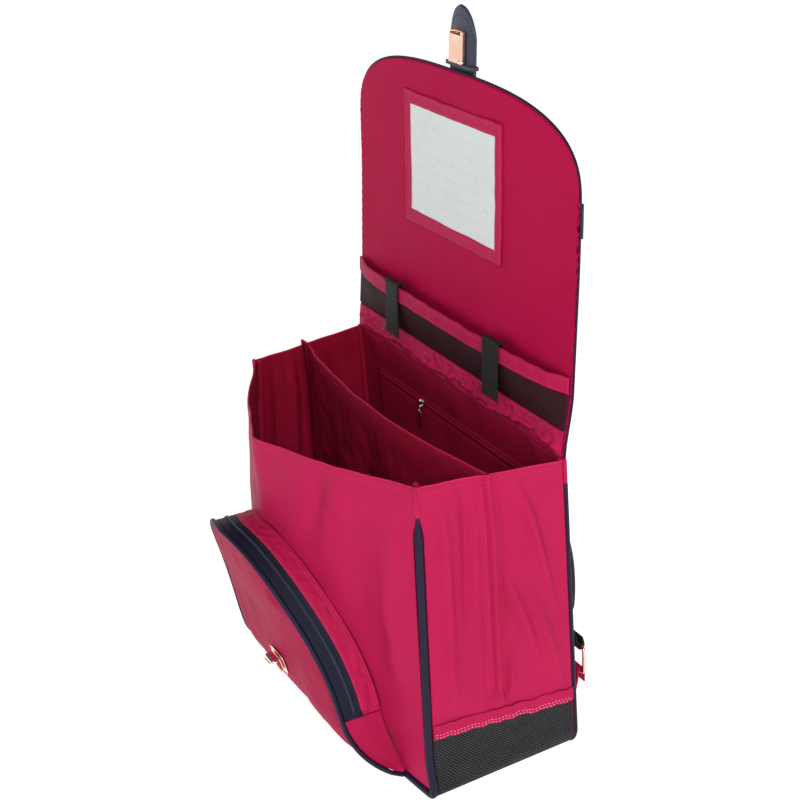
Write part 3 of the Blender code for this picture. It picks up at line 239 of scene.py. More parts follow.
def surface(name: str, points: Array, thickness: float, outside: Finish, slot: "Slot",
            nodes: Sequence[str], inside: Optional[Finish] = None) -> Piece:
    """Cloth wall about a grid of points, with a rounded rim.

    Each point goes half the thickness to both sides along the grid's normal, which is the
    cross product of the steps along a row and up a column. On the rim both sides draw in by
    a third of the thickness, and the grid's own edge stays as the round between them.

    Args:
        name: Name of the object.
        points: Grid of the middle surface, rows by columns by 3.
        thickness: Thickness of the cloth.
        outside: Finish of the side that the normal points to.
        slot: Material slot.
        nodes: Nodes that it replaces.
        inside: Finish of the other side, the same where none is given.

    Returns:
        The closed wall as a finished piece.
    """
    rows, columns = points.shape[:2]
    across = np.gradient(points, axis=1)
    up = np.gradient(points, axis=0)
    normal = unit(np.cross(across, up))
    away = np.zeros_like(points)
    away[0] -= unit(up[0])
    away[-1] += unit(up[-1])
    away[:, 0] -= unit(across[:, 0])
    away[:, -1] += unit(across[:, -1])
    drawn = points - away * thickness * 0.33
    front = drawn + normal * thickness / 2
    back = drawn - normal * thickness / 2
    count = rows * columns
    index = np.arange(count).reshape(rows, columns)
    rim = np.concatenate((index[0, :-1], index[:-1, -1], index[-1, :0:-1], index[:0:-1, 0]))
    here = np.arange(len(rim))
    there = np.roll(here, -1)
    middle = 2 * count
    faces, at = quads(rows, columns)
    near = np.stack((rim[there], rim[here], middle + here, middle + there), -1)
    far = np.stack((middle + there, middle + here, rim[here] + count, rim[there] + count), -1)
    every = np.concatenate((faces, faces[:, ::-1] + count, near, far))
    uv = metre_map(points, at)
    place = metre_map(points, np.stack((rim // columns, rim % columns), -1))
    edge = np.stack((place[there], place[here], place[here], place[there]), 1)
    loop_uv = np.concatenate((uv, uv[:, ::-1], edge, edge))
    vertices = np.concatenate((front.reshape(-1, 3), back.reshape(-1, 3), points.reshape(-1, 3)[rim]))
    lined = np.zeros(len(every), int)
    lined[len(faces):2 * len(faces)] = 1
    materials = (outside, inside if inside is not None else outside)
    return finish_piece(make_object(name, vertices, every.tolist(), loop_uv, materials, lined), slot, nodes)


def skin(name: str, points: Array, material: Finish, wrap_rows: bool = False) -> Piece:
    """Closed skin over rings of points: each row is a ring, and the ends get a flat cap.

    Args:
        name: Name of the object.
        points: Rings by points by 3, each ring turning left about the way that the rings go.
        material: Finish of the skin.
        wrap_rows: Whether the last ring joins the first.

    Returns:
        The closed skin as an object.
    """
    rows, columns = points.shape[:2]
    faces, at = quads(rows, columns, wrap_rows, True)
    loop_uv = metre_map(points, at).reshape(-1, 2)
    every = faces.tolist()
    if not wrap_rows:
        every += [list(range(columns))[::-1], list(range((rows - 1) * columns, rows * columns))]
        loop_uv = np.concatenate((loop_uv, np.zeros((2 * columns, 2))))
    return make_object(name, points, every, loop_uv, (material,))


def tube_rings(path: Array, radius: Union[float, Array], sides: int, reference: Sequence[float],
               closed: bool = False) -> Array:
    """Rings of a round tube: path + r (cos a * side + sin a * lift).

    The side is the path's direction crossed with a reference way, and the lift is the side
    crossed with the direction. Open ends close over in three shrinking rings.

    Args:
        path: Points of the middle line.
        radius: Radius, one for all or one for each point.
        sides: Points in a ring.
        reference: Way that is never along the path.
        closed: Whether the path comes back to its start.

    Returns:
        Rings by points by 3.
    """
    radii = np.broadcast_to(np.asarray(radius, float), (len(path),)).copy()
    if closed:
        along = unit(np.roll(path, -1, axis=0) - np.roll(path, 1, axis=0))
    else:
        along = unit(np.gradient(path, axis=0))
        turn = np.radians((85.0, 60.0, 30.0))
        head = path[:1] - along[:1] * radii[0] * np.sin(turn)[:, None]
        tail = path[-1:] + along[-1:] * radii[-1] * np.sin(turn[::-1])[:, None]
        path = np.concatenate((head, path, tail))
        along = np.concatenate((np.repeat(along[:1], 3, 0), along, np.repeat(along[-1:], 3, 0)))
        radii = np.concatenate((radii[0] * np.cos(turn), radii, radii[-1] * np.cos(turn[::-1])))
    side = unit(np.cross(along, np.asarray(reference, float)))
    lift = np.cross(side, along)
    angle = turns(sides)
    ring = np.cos(angle)[None, :, None] * side[:, None] - np.sin(angle)[None, :, None] * lift[:, None]
    return path[:, None] + radii[:, None, None] * ring


def tube(name: str, path: Array, radius: Union[float, Array], material: Finish, slot: "Slot",
         nodes: Sequence[str] = (), sides: int = 12, reference: Sequence[float] = (0.0, 1.0, 0.0),
         closed: bool = False) -> Piece:
    """Round tube along a path, with rounded ends, as a finished piece.

    Args:
        name: Name of the piece.
        path: Points of the middle line.
        radius: Radius, one for all or one for each point.
        material: Finish.
        slot: Material slot.
        nodes: Nodes that it replaces.
        sides: Points in a ring.
        reference: Way that is never along the path.
        closed: Whether the path comes back to its start.

    Returns:
        The finished piece.
    """
    piece = skin(name, tube_rings(path, radius, sides, reference, closed), material, closed)
    return finish_piece(piece, slot, nodes)


def pillow(size: Sequence[float], corner: float, edge: float, crown: float = 0.0) -> Array:
    """Rings of a rounded slab: a superellipse outline whose rim turns over in a quarter round.

    Each ring is |x / a|^p + |z / b|^p = 1 scaled about the middle, and the front ring stands
    out by the crown in the middle.

    Args:
        size: Width, depth and height, along X, Y and Z.
        corner: Power of the outline, 2 for an ellipse and more for a squarer one.
        edge: Radius of the rim's round.
        crown: How far the front's middle stands out.

    Returns:
        Rings by points by 3 about the origin, from the back at +Y to the front at -Y.
    """
    width, depth, height = size
    angle = turns(48)
    across = squared(np.cos(angle), 2.0 / corner)
    tall = squared(np.sin(angle), 2.0 / corner)
    turn = np.linspace(0.0, math.pi / 2, 5)
    draw = np.concatenate(((1.6,), 1.0 - np.sin(turn), 1.0 - np.cos(turn), (1.6, 2.4)))
    depths = np.concatenate(((0.0,), edge * (1.0 - np.cos(turn)), depth - edge * (1.0 - np.sin(turn)),
                             (depth, depth)))
    half = np.maximum(np.array((width, height))[None, :] / 2 - edge * draw[:, None], 0.0)
    lift = np.zeros(len(draw))
    lift[-2:] = crown * np.array((0.6, 1.0))
    x = half[:, :1] * across
    z = half[:, 1:] * tall
    y = depth / 2 - depths[:, None] - lift[:, None] + 0.0 * x
    return places(x, y, z)


def placed(rings: Array, matrix: Matrix) -> Array:
    """Points moved by a frame: rotation times point plus place."""
    turn = np.array(matrix.to_3x3())
    return rings @ turn.T + np.array(matrix.translation)


@dataclass
class Sheet:
    """A cloth surface that is a formula on the unit square.

    Attributes:
        shape: Place for a share across and a share up.
        facing: 1 where the side that shows has the normal across x up, else -1.
    """

    shape: Formula
    facing: float = 1.0

    def grid(self, rows: int, columns: int, spread: float = 0.0) -> Array:
        """Grid of places, closer together near both sides as the spread goes from 0 to 1."""
        even = np.linspace(0.0, 1.0, columns)
        across = lerp(even, 0.5 - 0.5 * np.cos(math.pi * even), spread)
        u, v = np.meshgrid(across, np.linspace(0.0, 1.0, rows))
        return self.shape(u, v)

    def rows(self, across: Array, heights: Sequence[float], lift: float) -> List[Line]:
        """Level lines on the cloth, one at each share up."""
        return [self.line(across, 0.0 * across + height, lift) for height in heights]

    def line(self, across: Array, up: Array, lift: float) -> Line:
        """A line on the cloth.

        The normal is the cross product of the central differences of the formula.

        Args:
            across: Shares across.
            up: Shares up.
            lift: Height of the line over the middle surface.

        Returns:
            The line's points, and the cloth's normals there.
        """
        step = 1.0e-3
        low, high = np.clip(across - step, 0.0, 1.0), np.clip(across + step, 0.0, 1.0)
        foot, head = np.clip(up - step, 0.0, 1.0), np.clip(up + step, 0.0, 1.0)
        normal = unit(np.cross(self.shape(high, up) - self.shape(low, up),
                               self.shape(across, head) - self.shape(across, foot)))
        normal = normal * self.facing
        return self.shape(across, up) + normal * lift, normal


# Shader maths

def operation(kind: str, reflected: bool = False) -> Callable[["Socket", "Value"], "Socket"]:
    """Operator that adds a Math node of a kind, with the socket second where it is reflected."""
    def method(self: "Socket", other: "Value") -> "Socket":
        """Result of the node."""
        return self.graph.maths(kind, other, self) if reflected else self.graph.maths(kind, self, other)
    return method


class Socket:
    """An output socket in a material, so that shader maths reads as plain expressions."""

    def __init__(self, graph: "Graph", source: bpy.types.NodeSocket) -> None:
        """Keep the socket and the graph that it is in."""
        self.graph = graph
        self.source = source

    __add__ = operation("ADD")
    __radd__ = operation("ADD", True)
    __sub__ = operation("SUBTRACT")
    __rsub__ = operation("SUBTRACT", True)
    __mul__ = operation("MULTIPLY")
    __rmul__ = operation("MULTIPLY", True)
    __truediv__ = operation("DIVIDE")
    __pow__ = operation("POWER")

    def sine(self) -> "Socket":
        """Sine of the value in radians, brought between 0 and 1."""
        return self.graph.maths("SINE", self, 0.0) * 0.5 + 0.5

    def over(self, limit: float) -> "Socket":
        """1 where the value is over the limit, else 0."""
        return self.graph.maths("GREATER_THAN", self, limit)


Value = Union[float, Tuple[float, ...], Socket]


class Graph:
    """The node tree of one new material."""

    def __init__(self, name: str) -> None:
        """Start a material with an empty tree.

        Args:
            name: Name of the material.
        """
        self.material = bpy.data.materials.new(name)
        self.material.use_nodes = True
        self.tree = self.material.node_tree
        self.tree.nodes.clear()

    def node(self, kind: str, settings: Dict[str, object],
             values: Dict[Union[str, int], Value]) -> bpy.types.Node:
        """Make a node.

        Args:
            kind: Type of the node.
            settings: Its own settings, set before anything else.
            values: A value or a link for each named or numbered input.

        Returns:
            The new node.
        """
        made = self.tree.nodes.new(kind)
        for key, setting in settings.items():
            setattr(made, key, setting)
        for key, value in values.items():
            if isinstance(value, Socket):
                self.tree.links.new(value.source, made.inputs[key])
            else:
                made.inputs[key].default_value = value
        return made

    def maths(self, operation: str, first: Value, second: Value) -> Socket:
        """Result of a Math node on two values."""
        made = self.node("ShaderNodeMath", {"operation": operation}, {0: first, 1: second})
        return Socket(self, made.outputs[0])

    def coordinates(self, output: str) -> Socket:
        """Places to draw a pattern on: Object or UV, both in metres."""
        made = self.node("ShaderNodeTexCoord", {}, {})
        return Socket(self, made.outputs[output])

    def split(self, vector: Socket) -> Tuple[Socket, Socket, Socket]:
        """The three parts of a vector."""
        made = self.node("ShaderNodeSeparateXYZ", {}, {0: vector})
        return Socket(self, made.outputs[0]), Socket(self, made.outputs[1]), Socket(self, made.outputs[2])

    def noise(self, place: Socket, size: float, detail: float = 3.0) -> Socket:
        """Cloudy value about 0.5, with clouds of the given size in metres."""
        made = self.node("ShaderNodeTexNoise", {}, {"Vector": place, "Scale": 1.0 / size, "Detail": detail})
        return Socket(self, made.outputs[0])

    def cells(self, place: Socket, size: float) -> Socket:
        """Distance to the nearest of scattered points, one per the given size in metres."""
        made = self.node("ShaderNodeTexVoronoi", {}, {"Vector": place, "Scale": 1.0 / size})
        return Socket(self, made.outputs[0])

    def blend(self, share: Value, first: Value, second: Value) -> Socket:
        """Mix of two colours."""
        made = self.node("ShaderNodeMix", {"data_type": "RGBA", "clamp_factor": True},
                         {0: share, 6: first, 7: second})
        return Socket(self, made.outputs[2])

    def bump(self, height: Socket, depth: float, strength: float = 1.0) -> Socket:
        """Normal of a small relief: height times depth, in metres."""
        made = self.node("ShaderNodeBump", {}, {"Height": height, "Distance": depth, "Strength": strength})
        return Socket(self, made.outputs[0])

    def shade(self, values: Dict[Union[str, int], Value]) -> Finish:
        """Close the material with a Principled shader.

        Args:
            values: A value or a link for each of the shader's inputs.

        Returns:
            The finished material.
        """
        shader = self.node("ShaderNodeBsdfPrincipled", {}, values)
        self.node("ShaderNodeOutputMaterial", {}, {"Surface": Socket(self, shader.outputs[0])})
        return self.material


def tint(colour: Colour, share: float) -> Tuple[float, float, float, float]:
    """A colour made lighter or darker by a share, with full alpha."""
    return (colour[0] * share, colour[1] * share, colour[2] * share, 1.0)


# Finishes

@dataclass(frozen=True)
class Cloth:
    """Satin-faced woven cloth.

    Attributes:
        name: Name of the finish.
        colour: Linear colour of the yarn.
        roughness: Mean roughness.
        pitch: Distance between twill lines.
        relief: Depth of the twill.
        crumple: Depth of the small creases.
        sheen: Weight of the soft light at the edges.
        gloss: Strength of the mirror-like share.
    """

    name: str
    colour: Colour
    roughness: float = 0.46
    pitch: float = 0.62 * MM
    relief: float = 0.05 * MM
    crumple: float = 0.30 * MM
    sheen: float = 0.010
    gloss: float = 0.06

    def material(self) -> Finish:
        """Twill lines on the pattern map, creases with painted shade in their hollows, and a slow drift of
        tone on object places.
        """
        graph = Graph(self.name)
        u, v, _ = graph.split(graph.coordinates("UV"))
        place = graph.coordinates("Object")
        twill = ((u + v) * (TURN / self.pitch)).sine()
        yarn = ((u - v) * (TURN / (0.55 * self.pitch))).sine()
        weave = twill * 0.7 + yarn * 0.3
        crease = graph.noise(place, 0.018, 4.0)
        drift = graph.noise(place, 0.11, 2.0)
        # The crease noise lightens the colour on its rises and darkens it in its hollows: painted shade of
        # the creases. The drift is tone that differs at random.
        share = weave * 0.10 + drift * 0.5 + crease * 0.4
        colour = graph.blend(share, tint(self.colour, 0.80), tint(self.colour, 1.18))
        height = weave * self.relief + crease * self.crumple
        return graph.shade({
            "Base Color": colour,
            "Roughness": (drift - 0.5) * 0.16 + weave * 0.06 + self.roughness,
            "Sheen Weight": self.sheen,
            "Sheen Roughness": 0.35,
            "Sheen Tint": tint((1.0, 0.30, 0.50), 1.0),
            "Specular IOR Level": self.gloss,
            "Normal": graph.bump(height, 1.0)})


@dataclass(frozen=True)
class Net:
    """Open net over dark cloth.

    Attributes:
        name: Name of the finish.
        dark: Colour of the net.
        light: Colour that shows through its holes.
        pitch_across: Distance between holes along a row.
        pitch_up: Distance between rows.
        fill: Share of the light in a hole.
    """

    name: str
    dark: Colour
    light: Colour
    pitch_across: float
    pitch_up: float
    fill: float = 0.8

    def material(self) -> Finish:
        """Diamond holes: the product of two sine waves over the crossed diagonals."""
        graph = Graph(self.name)
        u, v, _ = graph.split(graph.coordinates("UV"))
        place = graph.coordinates("Object")
        uneven = graph.noise(place, 0.012, 3.0)
        one = ((u / self.pitch_across + v / self.pitch_up) * math.pi + uneven * 0.5).sine()
        two = ((u / self.pitch_across - v / self.pitch_up) * math.pi - uneven * 0.5).sine()
        hole = (one * two) ** 1.6
        share = hole * (uneven * 0.9 + 0.4) * self.fill
        return graph.shade({
            "Base Color": graph.blend(share, tint(self.dark, 1.0), tint(self.light, 1.0)),
            "Roughness": 0.78 - hole * 0.2,
            "Specular IOR Level": 0.15,
            "Normal": graph.bump(1.0 - hole, 0.35 * MM)})


@dataclass(frozen=True)
class Webbing:
    """Ribbed woven strap or tape.

    Attributes:
        name: Name of the finish.
        colour: Linear colour.
        rib: Distance between ribs.
        relief: Depth of a rib.
        roughness: Mean roughness.
    """

    name: str
    colour: Colour
    rib: float = 1.1 * MM
    relief: float = 0.22 * MM
    roughness: float = 0.62

    def material(self) -> Finish:
        """Ribs along the pattern map, crossed by finer picks."""
        graph = Graph(self.name)
        u, v, _ = graph.split(graph.coordinates("UV"))
        place = graph.coordinates("Object")
        ribs = (v * (TURN / self.rib)).sine()
        picks = (u * (TURN / (1.6 * self.rib)) + ribs * 1.5).sine()
        wear = graph.noise(place, 0.02, 4.0)
        share = ribs * 0.35 + picks * 0.25 + wear * 0.4
        return graph.shade({
            "Base Color": graph.blend(share, tint(self.colour, 0.65), tint(self.colour, 1.5)),
            "Roughness": wear * 0.2 + (self.roughness - 0.1),
            "Specular IOR Level": 0.18,
            "Normal": graph.bump(ribs * 0.6 + picks * 0.4, self.relief)})


@dataclass(frozen=True)
class Leather:
    """Coated leather-like board.

    Attributes:
        name: Name of the finish.
        colour: Linear colour.
        grain: Size of the grain.
    """

    name: str
    colour: Colour
    grain: float = 1.3 * MM

    def material(self) -> Finish:
        """Cell grain with finer pores, rougher in the hollows."""
        graph = Graph(self.name)
        place = graph.coordinates("Object")
        cells = graph.cells(place, self.grain)
        pores = graph.noise(place, 0.4 * self.grain, 2.0)
        drift = graph.noise(place, 0.03, 3.0)
        return graph.shade({
            "Base Color": graph.blend(drift * 0.7 + cells * 0.3, tint(self.colour, 0.75),
                                      tint(self.colour, 1.35)),
            "Roughness": cells * 0.12 + drift * 0.14 + 0.28,
            "Specular IOR Level": 0.30,
            "Normal": graph.bump(1.0 - cells * 0.7 - pores * 0.3, 0.12 * MM)})


@dataclass(frozen=True)
class Metal:
    """Plated metal.

    Attributes:
        name: Name of the finish.
        colour: Linear colour of the plating.
        roughness: Mean roughness.
    """

    name: str
    colour: Colour
    roughness: float = 0.16

    def material(self) -> Finish:
        """Fine rubbed streaks and a few dull patches."""
        graph = Graph(self.name)
        place = graph.coordinates("Object")
        patch = graph.noise(place, 0.006, 4.0)
        rub = graph.noise(place, 0.0009, 2.0)
        return graph.shade({
            "Base Color": graph.blend(patch, tint(self.colour, 0.88), tint(self.colour, 1.06)),
            "Metallic": 1.0,
            "Roughness": patch * 0.14 + rub * 0.06 + (self.roughness - 0.08),
            "Normal": graph.bump(rub, 0.01 * MM)})


@dataclass(frozen=True)
class Card:
    """Pale card with ruled lines behind a clear window.

    Attributes:
        name: Name of the finish.
        paper: Linear colour of the card.
        ink: Linear colour of the lines.
        pitch: Distance between the lines.
        margin: Bare edge round the lines.
        width: Width of the card.
        height: Height of the card.
    """

    name: str
    paper: Colour
    ink: Colour
    pitch: float
    margin: float
    width: float
    height: float

    def material(self) -> Finish:
        """Thin lines where the sine over the pattern's height peaks, inside the margins."""
        graph = Graph(self.name)
        u, v, _ = graph.split(graph.coordinates("UV"))
        place = graph.coordinates("Object")
        line = (v * (TURN / self.pitch)).sine().over(0.955)
        inside = (u.over(self.margin) * (self.width - u).over(self.margin)
                  * v.over(self.margin) * (self.height - v).over(self.margin))
        cloud = graph.noise(place, 0.035, 3.0)
        paper = graph.blend(cloud, tint(self.paper, 0.94), tint(self.paper, 1.05))
        return graph.shade({
            "Base Color": graph.blend(line * inside * 0.22, paper, tint(self.ink, 1.0)),
            "Roughness": cloud * 0.2 + 0.18,
            "Coat Weight": 0.6,
            "Coat Roughness": 0.12,
            "Normal": graph.bump(cloud, 0.5 * MM)})


@dataclass(frozen=True)
class Plain:
    """Even ground for the studio.

    Attributes:
        name: Name of the finish.
        colour: Linear colour.
        glow: Light of its own, as of a lit table.
    """

    name: str
    colour: Colour
    glow: float = 0.82

    def material(self) -> Finish:
        """Matt colour with a faint drift of tone."""
        graph = Graph(self.name)
        drift = graph.noise(graph.coordinates("Object"), 0.6, 2.0)
        return graph.shade({
            "Base Color": graph.blend(drift, tint(self.colour, 0.985), tint(self.colour, 1.0)),
            "Emission Color": (1.0, 1.0, 1.0, 1.0),
            "Emission Strength": self.glow,
            "Roughness": 0.8})


class Slot(Enum):
    """Material slots."""

    BAG = "bag_cloth"
    FLAP = "flap_cloth"
    LINING = "lining_cloth"
    NET = "black_net"
    NAVY = "navy_trim"
    WEBBING = "black_webbing"
    LEATHER = "navy_leather"
    METAL = "rose_metal"
    CARD = "card_window"


class Wardrobe:
    """Every finish of the bag, made once."""

    def __init__(self) -> None:
        """Make the materials."""
        magenta = (0.395, 0.0095, 0.0630)
        self.wall = Cloth("magenta_satin", magenta).material()
        self.flap = Cloth("flap_satin", (0.375, 0.0045, 0.0480), crumple=0.18 * MM, gloss=0.02).material()
        self.face = Cloth("pocket_satin", (0.320, 0.0095, 0.0500), crumple=0.5 * MM, gloss=0.02).material()
        # Darker than the outer satin: partly the lining's own colour, partly painted shade of the bag's
        # inside, as it goes on the inner faces of the walls.
        self.lining = Cloth("coated_lining_and_inner_shade", (0.290, 0.0050, 0.0280), roughness=0.55,
                            sheen=0.02).material()
        self.edge = Cloth("edge_binding", (0.520, 0.0200, 0.0900), pitch=0.9 * MM).material()
        self.thread = Webbing("pink_thread", (0.580, 0.0450, 0.1300), 0.5 * MM, 0.05 * MM).material()
        self.seam = Webbing("lining_thread", (0.300, 0.0120, 0.0400), 0.5 * MM, 0.05 * MM).material()
        self.pale_thread = Webbing("pale_thread", (0.780, 0.3000, 0.3900), 0.5 * MM, 0.05 * MM).material()
        self.dark_thread = Webbing("navy_thread", (0.030, 0.0350, 0.0700), 0.5 * MM, 0.05 * MM).material()
        self.net = Net("base_net", (0.007, 0.0068, 0.0085), (0.210, 0.2100, 0.2200), 1.3 * MM,
                       1.7 * MM, 0.50).material()
        self.pocket_net = Net("flap_net", (0.020, 0.0060, 0.0090), (0.150, 0.0080, 0.0250), 1.5 * MM,
                              1.5 * MM, 0.55).material()
        self.navy = Webbing("navy_piping", (0.0080, 0.0060, 0.0240), 0.7 * MM, 0.06 * MM, 0.5).material()
        self.tape = Webbing("zip_tape", (0.0060, 0.0085, 0.0200), 0.8 * MM, 0.10 * MM).material()
        self.teeth = Leather("zip_teeth", (0.0350, 0.0500, 0.0850), 0.5 * MM).material()
        self.webbing = Webbing("black_strap", (0.0130, 0.0105, 0.0105)).material()
        self.leather = Leather("navy_board", (0.0280, 0.0310, 0.0520)).material()
        self.metal = Metal("rose_plate", (0.900, 0.5600, 0.4300)).material()
        # Paler plating. On the lock case this pale colour stands in for the white reflection on its rose
        # plating: a painted reflection.
        self.bright = Metal("pale_plate_and_painted_glint", (0.950, 0.8200, 0.7400), 0.12).material()


def finish_piece(piece: Piece, slot: Slot, nodes: Sequence[str] = (),
                 body: str = "root") -> Piece:
    """Fix a piece to a body and hide the frame's nodes that it stands for.

    Args:
        piece: The finished object.
        slot: Material slot; not used.
        nodes: Nodes of the frame that it replaces.
        body: Body that it rides on.

    Returns:
        The same object.
    """
    if nodes:
        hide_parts(*nodes)
    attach(piece, body)
    LOG.info("%s: %d faces", piece.name, len(piece.data.polygons))
    return piece


@dataclass
class Stitching:
    """A run of sewn stitches: small spindles whose ends dip into the cloth.

    Attributes:
        pitch: Distance from one stitch to the next.
        length: Length of a stitch.
        radius: Radius of the thread.
    """

    pitch: float = 3.6 * MM
    length: float = 2.7 * MM
    radius: float = 0.23 * MM

    def spots(self, points: Array, normals: Array) -> Array:
        """Corners of the stitches along one line.

        A stitch is rings at shares s of its length, with radius r (1 - 0.65 (2 s)^4) and
        lifted by r (0.5 - 2 (2 s)^4), along the line's own direction.

        Args:
            points: Points of the line.
            normals: Normals of the cloth there.

        Returns:
            Stitches by rings by corners by 3.
        """
        run = lengths(points)
        at = np.arange(self.pitch / 2, run[-1] - self.length / 2, self.pitch)
        centre = read_along(at, run, points)
        normal = unit(read_along(at, run, normals))
        along = unit(read_along(at, run, np.gradient(points, run, axis=0)))
        side = np.cross(along, normal)
        share = np.array((-0.5, -0.25, 0.25, 0.5))
        end = (2.0 * share) ** 4
        angle = turns(5)
        ring = (np.cos(angle)[None, None, :, None] * side[:, None, None]
                + np.sin(angle)[None, None, :, None] * normal[:, None, None])
        radius = (self.radius * (1.0 - 0.65 * end))[None, :, None, None]
        middle = (centre[:, None] + along[:, None] * (self.length * share)[None, :, None]
                  + normal[:, None] * (self.radius * (0.5 - 2.0 * end))[None, :, None])
        return middle[:, :, None] + ring * radius

    def sew(self, name: str, lines: Sequence[Line], material: Finish, slot: Slot) -> Piece:
        """Join the stitches of several lines into one object.

        Args:
            name: Name of the object.
            lines: Points and normals of each line.
            material: Finish of the thread.
            slot: Material slot.

        Returns:
            The stitches as one finished piece.
        """
        spots = np.concatenate([self.spots(points, normals) for points, normals in lines])
        count, rings, corners = spots.shape[:3]
        faces, at = quads(rings, corners, False, True)
        caps = np.stack((np.arange(corners)[::-1], np.arange(corners) + (rings - 1) * corners))
        offset = np.arange(count)[:, None, None] * rings * corners
        body = (faces[None] + offset).reshape(-1, 4).tolist()
        ends = (caps[None] + offset).reshape(-1, corners).tolist()
        place = np.stack((at[..., 1] * self.radius, at[..., 0] * self.length / rings), -1)
        loop_uv = np.concatenate((np.tile(place.reshape(-1, 2), (count, 1)),
                                  np.zeros((len(ends) * corners, 2))))
        return finish_piece(make_object(name, spots, body + ends, loop_uv, (material,)), slot)


# Forms: the sizes and formulas that the frame's own model is built on

@dataclass(frozen=True)
class BodyForm:
    """Sizes and shape of the bag's body, a tapered box with a bulged front."""

    height: float = 0.295
    back_half: float = 0.1875
    front_half_foot: float = 0.1775
    front_half_top: float = 0.1625
    front_y_foot: float = -0.0725
    front_y_top: float = -0.0640
    back_y_foot: float = 0.0725
    back_y_top: float = 0.0625
    front_corner: float = 0.009
    back_corner: float = 0.025
    foot_flare: float = 0.007
    foot_flare_rise: float = 0.040
    band_top: float = 0.0597
    hem_foot: float = 0.056
    hem_height: float = 0.014
    bulge_foot: float = 0.014
    bulge_top: float = 0.069
    bulge_rise: float = 0.200
    side_power: float = 1.6
    lip_power: float = 1.45
    front_pipe: float = 3.6 * MM
    front_set: float = 1.8 * MM
    front_drop: float = 0.027
    tack_out: float = 2.6 * MM
    tack_radius: float = 3.3 * MM
    back_pipe: float = 2.0 * MM
    back_set: float = 1.0 * MM
    back_drop: float = 0.022
    cloth: float = 1.6 * MM
    base: float = 2.0 * MM
    back: float = 2.6 * MM
    divider_y: float = -0.004
    divider_bow: float = 0.018
    fin_out: float = 0.0050
    fin_half: float = 0.0034
    fin_foot_half: float = 0.0120
    fin_foot_rise: float = 0.024

    def front_half(self, z: Array) -> Array:
        """Half-width at the front edge: straight from foot to top, plus a flare at the foot."""
        flare = self.foot_flare * (1.0 - smooth(z / self.foot_flare_rise))
        return lerp(self.front_half_foot, self.front_half_top, z / self.height) + flare

    def front_edge(self, z: Array) -> Array:
        """Depth of the front edge, straight from foot to top."""
        return lerp(self.front_y_foot, self.front_y_top, z / self.height)

    def back_y(self, z: Array) -> Array:
        """Depth of the back wall, straight from foot to top."""
        return lerp(self.back_y_foot, self.back_y_top, z / self.height)

    def back_face(self, z: Array) -> Array:
        """Outer face of the back wall."""
        return self.back_y(z) + self.back / 2

    def pipe_half(self, z: Array) -> Array:
        """Half-width of the middle of the front piping."""
        return self.front_half(z) - self.front_set

    def front_y(self, x: Array, z: Array) -> Array:
        """Depth of the front wall: its edge less depth(z) * (1 - |x / half|^power(z))."""
        depth = lerp(self.bulge_foot, self.bulge_top, smooth(z / self.bulge_rise))
        power = lerp(self.side_power, self.lip_power, smooth(2.0 * z / self.height - 1.0))
        share = np.clip(np.abs(x) / self.pipe_half(z), 0.0, 1.0)
        return self.front_edge(z) - depth * (1.0 - share ** power)

    def u_half(self, z: Array, half: Array, radius: float, floor: float) -> Array:
        """Half-width of a U outline: straight sides and round lower corners."""
        below = np.clip(floor + radius - z, 0.0, radius)
        return half - radius + np.sqrt(radius ** 2 - below ** 2)

    def u_path(self, top: float, half_at: Callable[[Array], Array], radius: float, floor: float,
               steps: Tuple[int, int, int]) -> Tuple[Array, Array]:
        """Points down the right side, round the corner, under the foot and up the left side.

        Args:
            top: Height of both ends.
            half_at: Half-width at a height.
            radius: Radius of the corners.
            floor: Height of the foot.
            steps: Steps of a side, a corner and half the foot.

        Returns:
            The points' x and z.
        """
        turn = np.linspace(0.0, math.pi / 2, steps[1] + 1)
        side = np.linspace(top, floor + radius, steps[0] + 1)[:-1]
        z = np.concatenate((side, floor + radius * (1.0 - np.sin(turn))))
        x = self.u_half(z, half_at(z), radius, floor)
        foot = np.linspace(1.0, 0.0, steps[2] + 1)[1:] * x[-1]
        x = np.concatenate((x, foot))
        z = np.concatenate((z, np.full(steps[2], floor)))
        return np.concatenate((x, -x[-2::-1])), np.concatenate((z, z[-2::-1]))

    def side_limits(self, z: Array) -> Tuple[Array, Array]:
        """Front and back limits in y of a side wall, between the two pipings."""
        return (self.front_edge(z) + self.front_pipe + GAP, self.back_y(z) - self.back_pipe - GAP)

    def side_x(self, share: Array, z: Array) -> Array:
        """Outer skin of the side at a share of its depth."""
        return lerp(self.front_half(z), self.back_half, share)

    def divider_share(self, z: Array) -> Array:
        """Where the divider meets the side wall, as a share of its depth."""
        start, end = self.side_limits(z)
        return (self.divider_y - start) / (end - start)

    def fin(self, share: Array, z: Array) -> Array:
        """Outward pinch at the divider: a tent 1 - away / half, which splays at its foot."""
        start, end = self.side_limits(z)
        away = np.abs(share - self.divider_share(z)) * (end - start)
        foot = self.hem_foot + self.hem_height
        rise = smooth((z - foot) / self.fin_foot_rise)
        half = lerp(self.fin_foot_half, self.fin_half, rise)
        start_rise = smooth((z - foot) / (0.3 * self.fin_foot_rise))
        return self.fin_out * np.clip(1.0 - away / half, 0.0, 1.0) * start_rise

    def band(self, share: Array, steps: Tuple[int, int, int]) -> Array:
        """Middle line of the base band at a share of its depth, where its corners open out."""
        inset = self.base / 2
        front_x, front_z = self.u_path(self.band_top, lambda at: self.front_half(at) - inset,
                                       self.front_corner - inset, inset, steps)
        back_x, back_z = self.u_path(self.band_top, lambda at: self.back_half - inset + 0.0 * at,
                                     self.back_corner - inset, inset, steps)
        y = lerp(self.front_y(front_x, front_z) + self.front_pipe + GAP,
                 self.back_y(back_z) - self.back_pipe - GAP, share)
        return places(lerp(front_x, back_x, share), y, lerp(front_z, back_z, share))


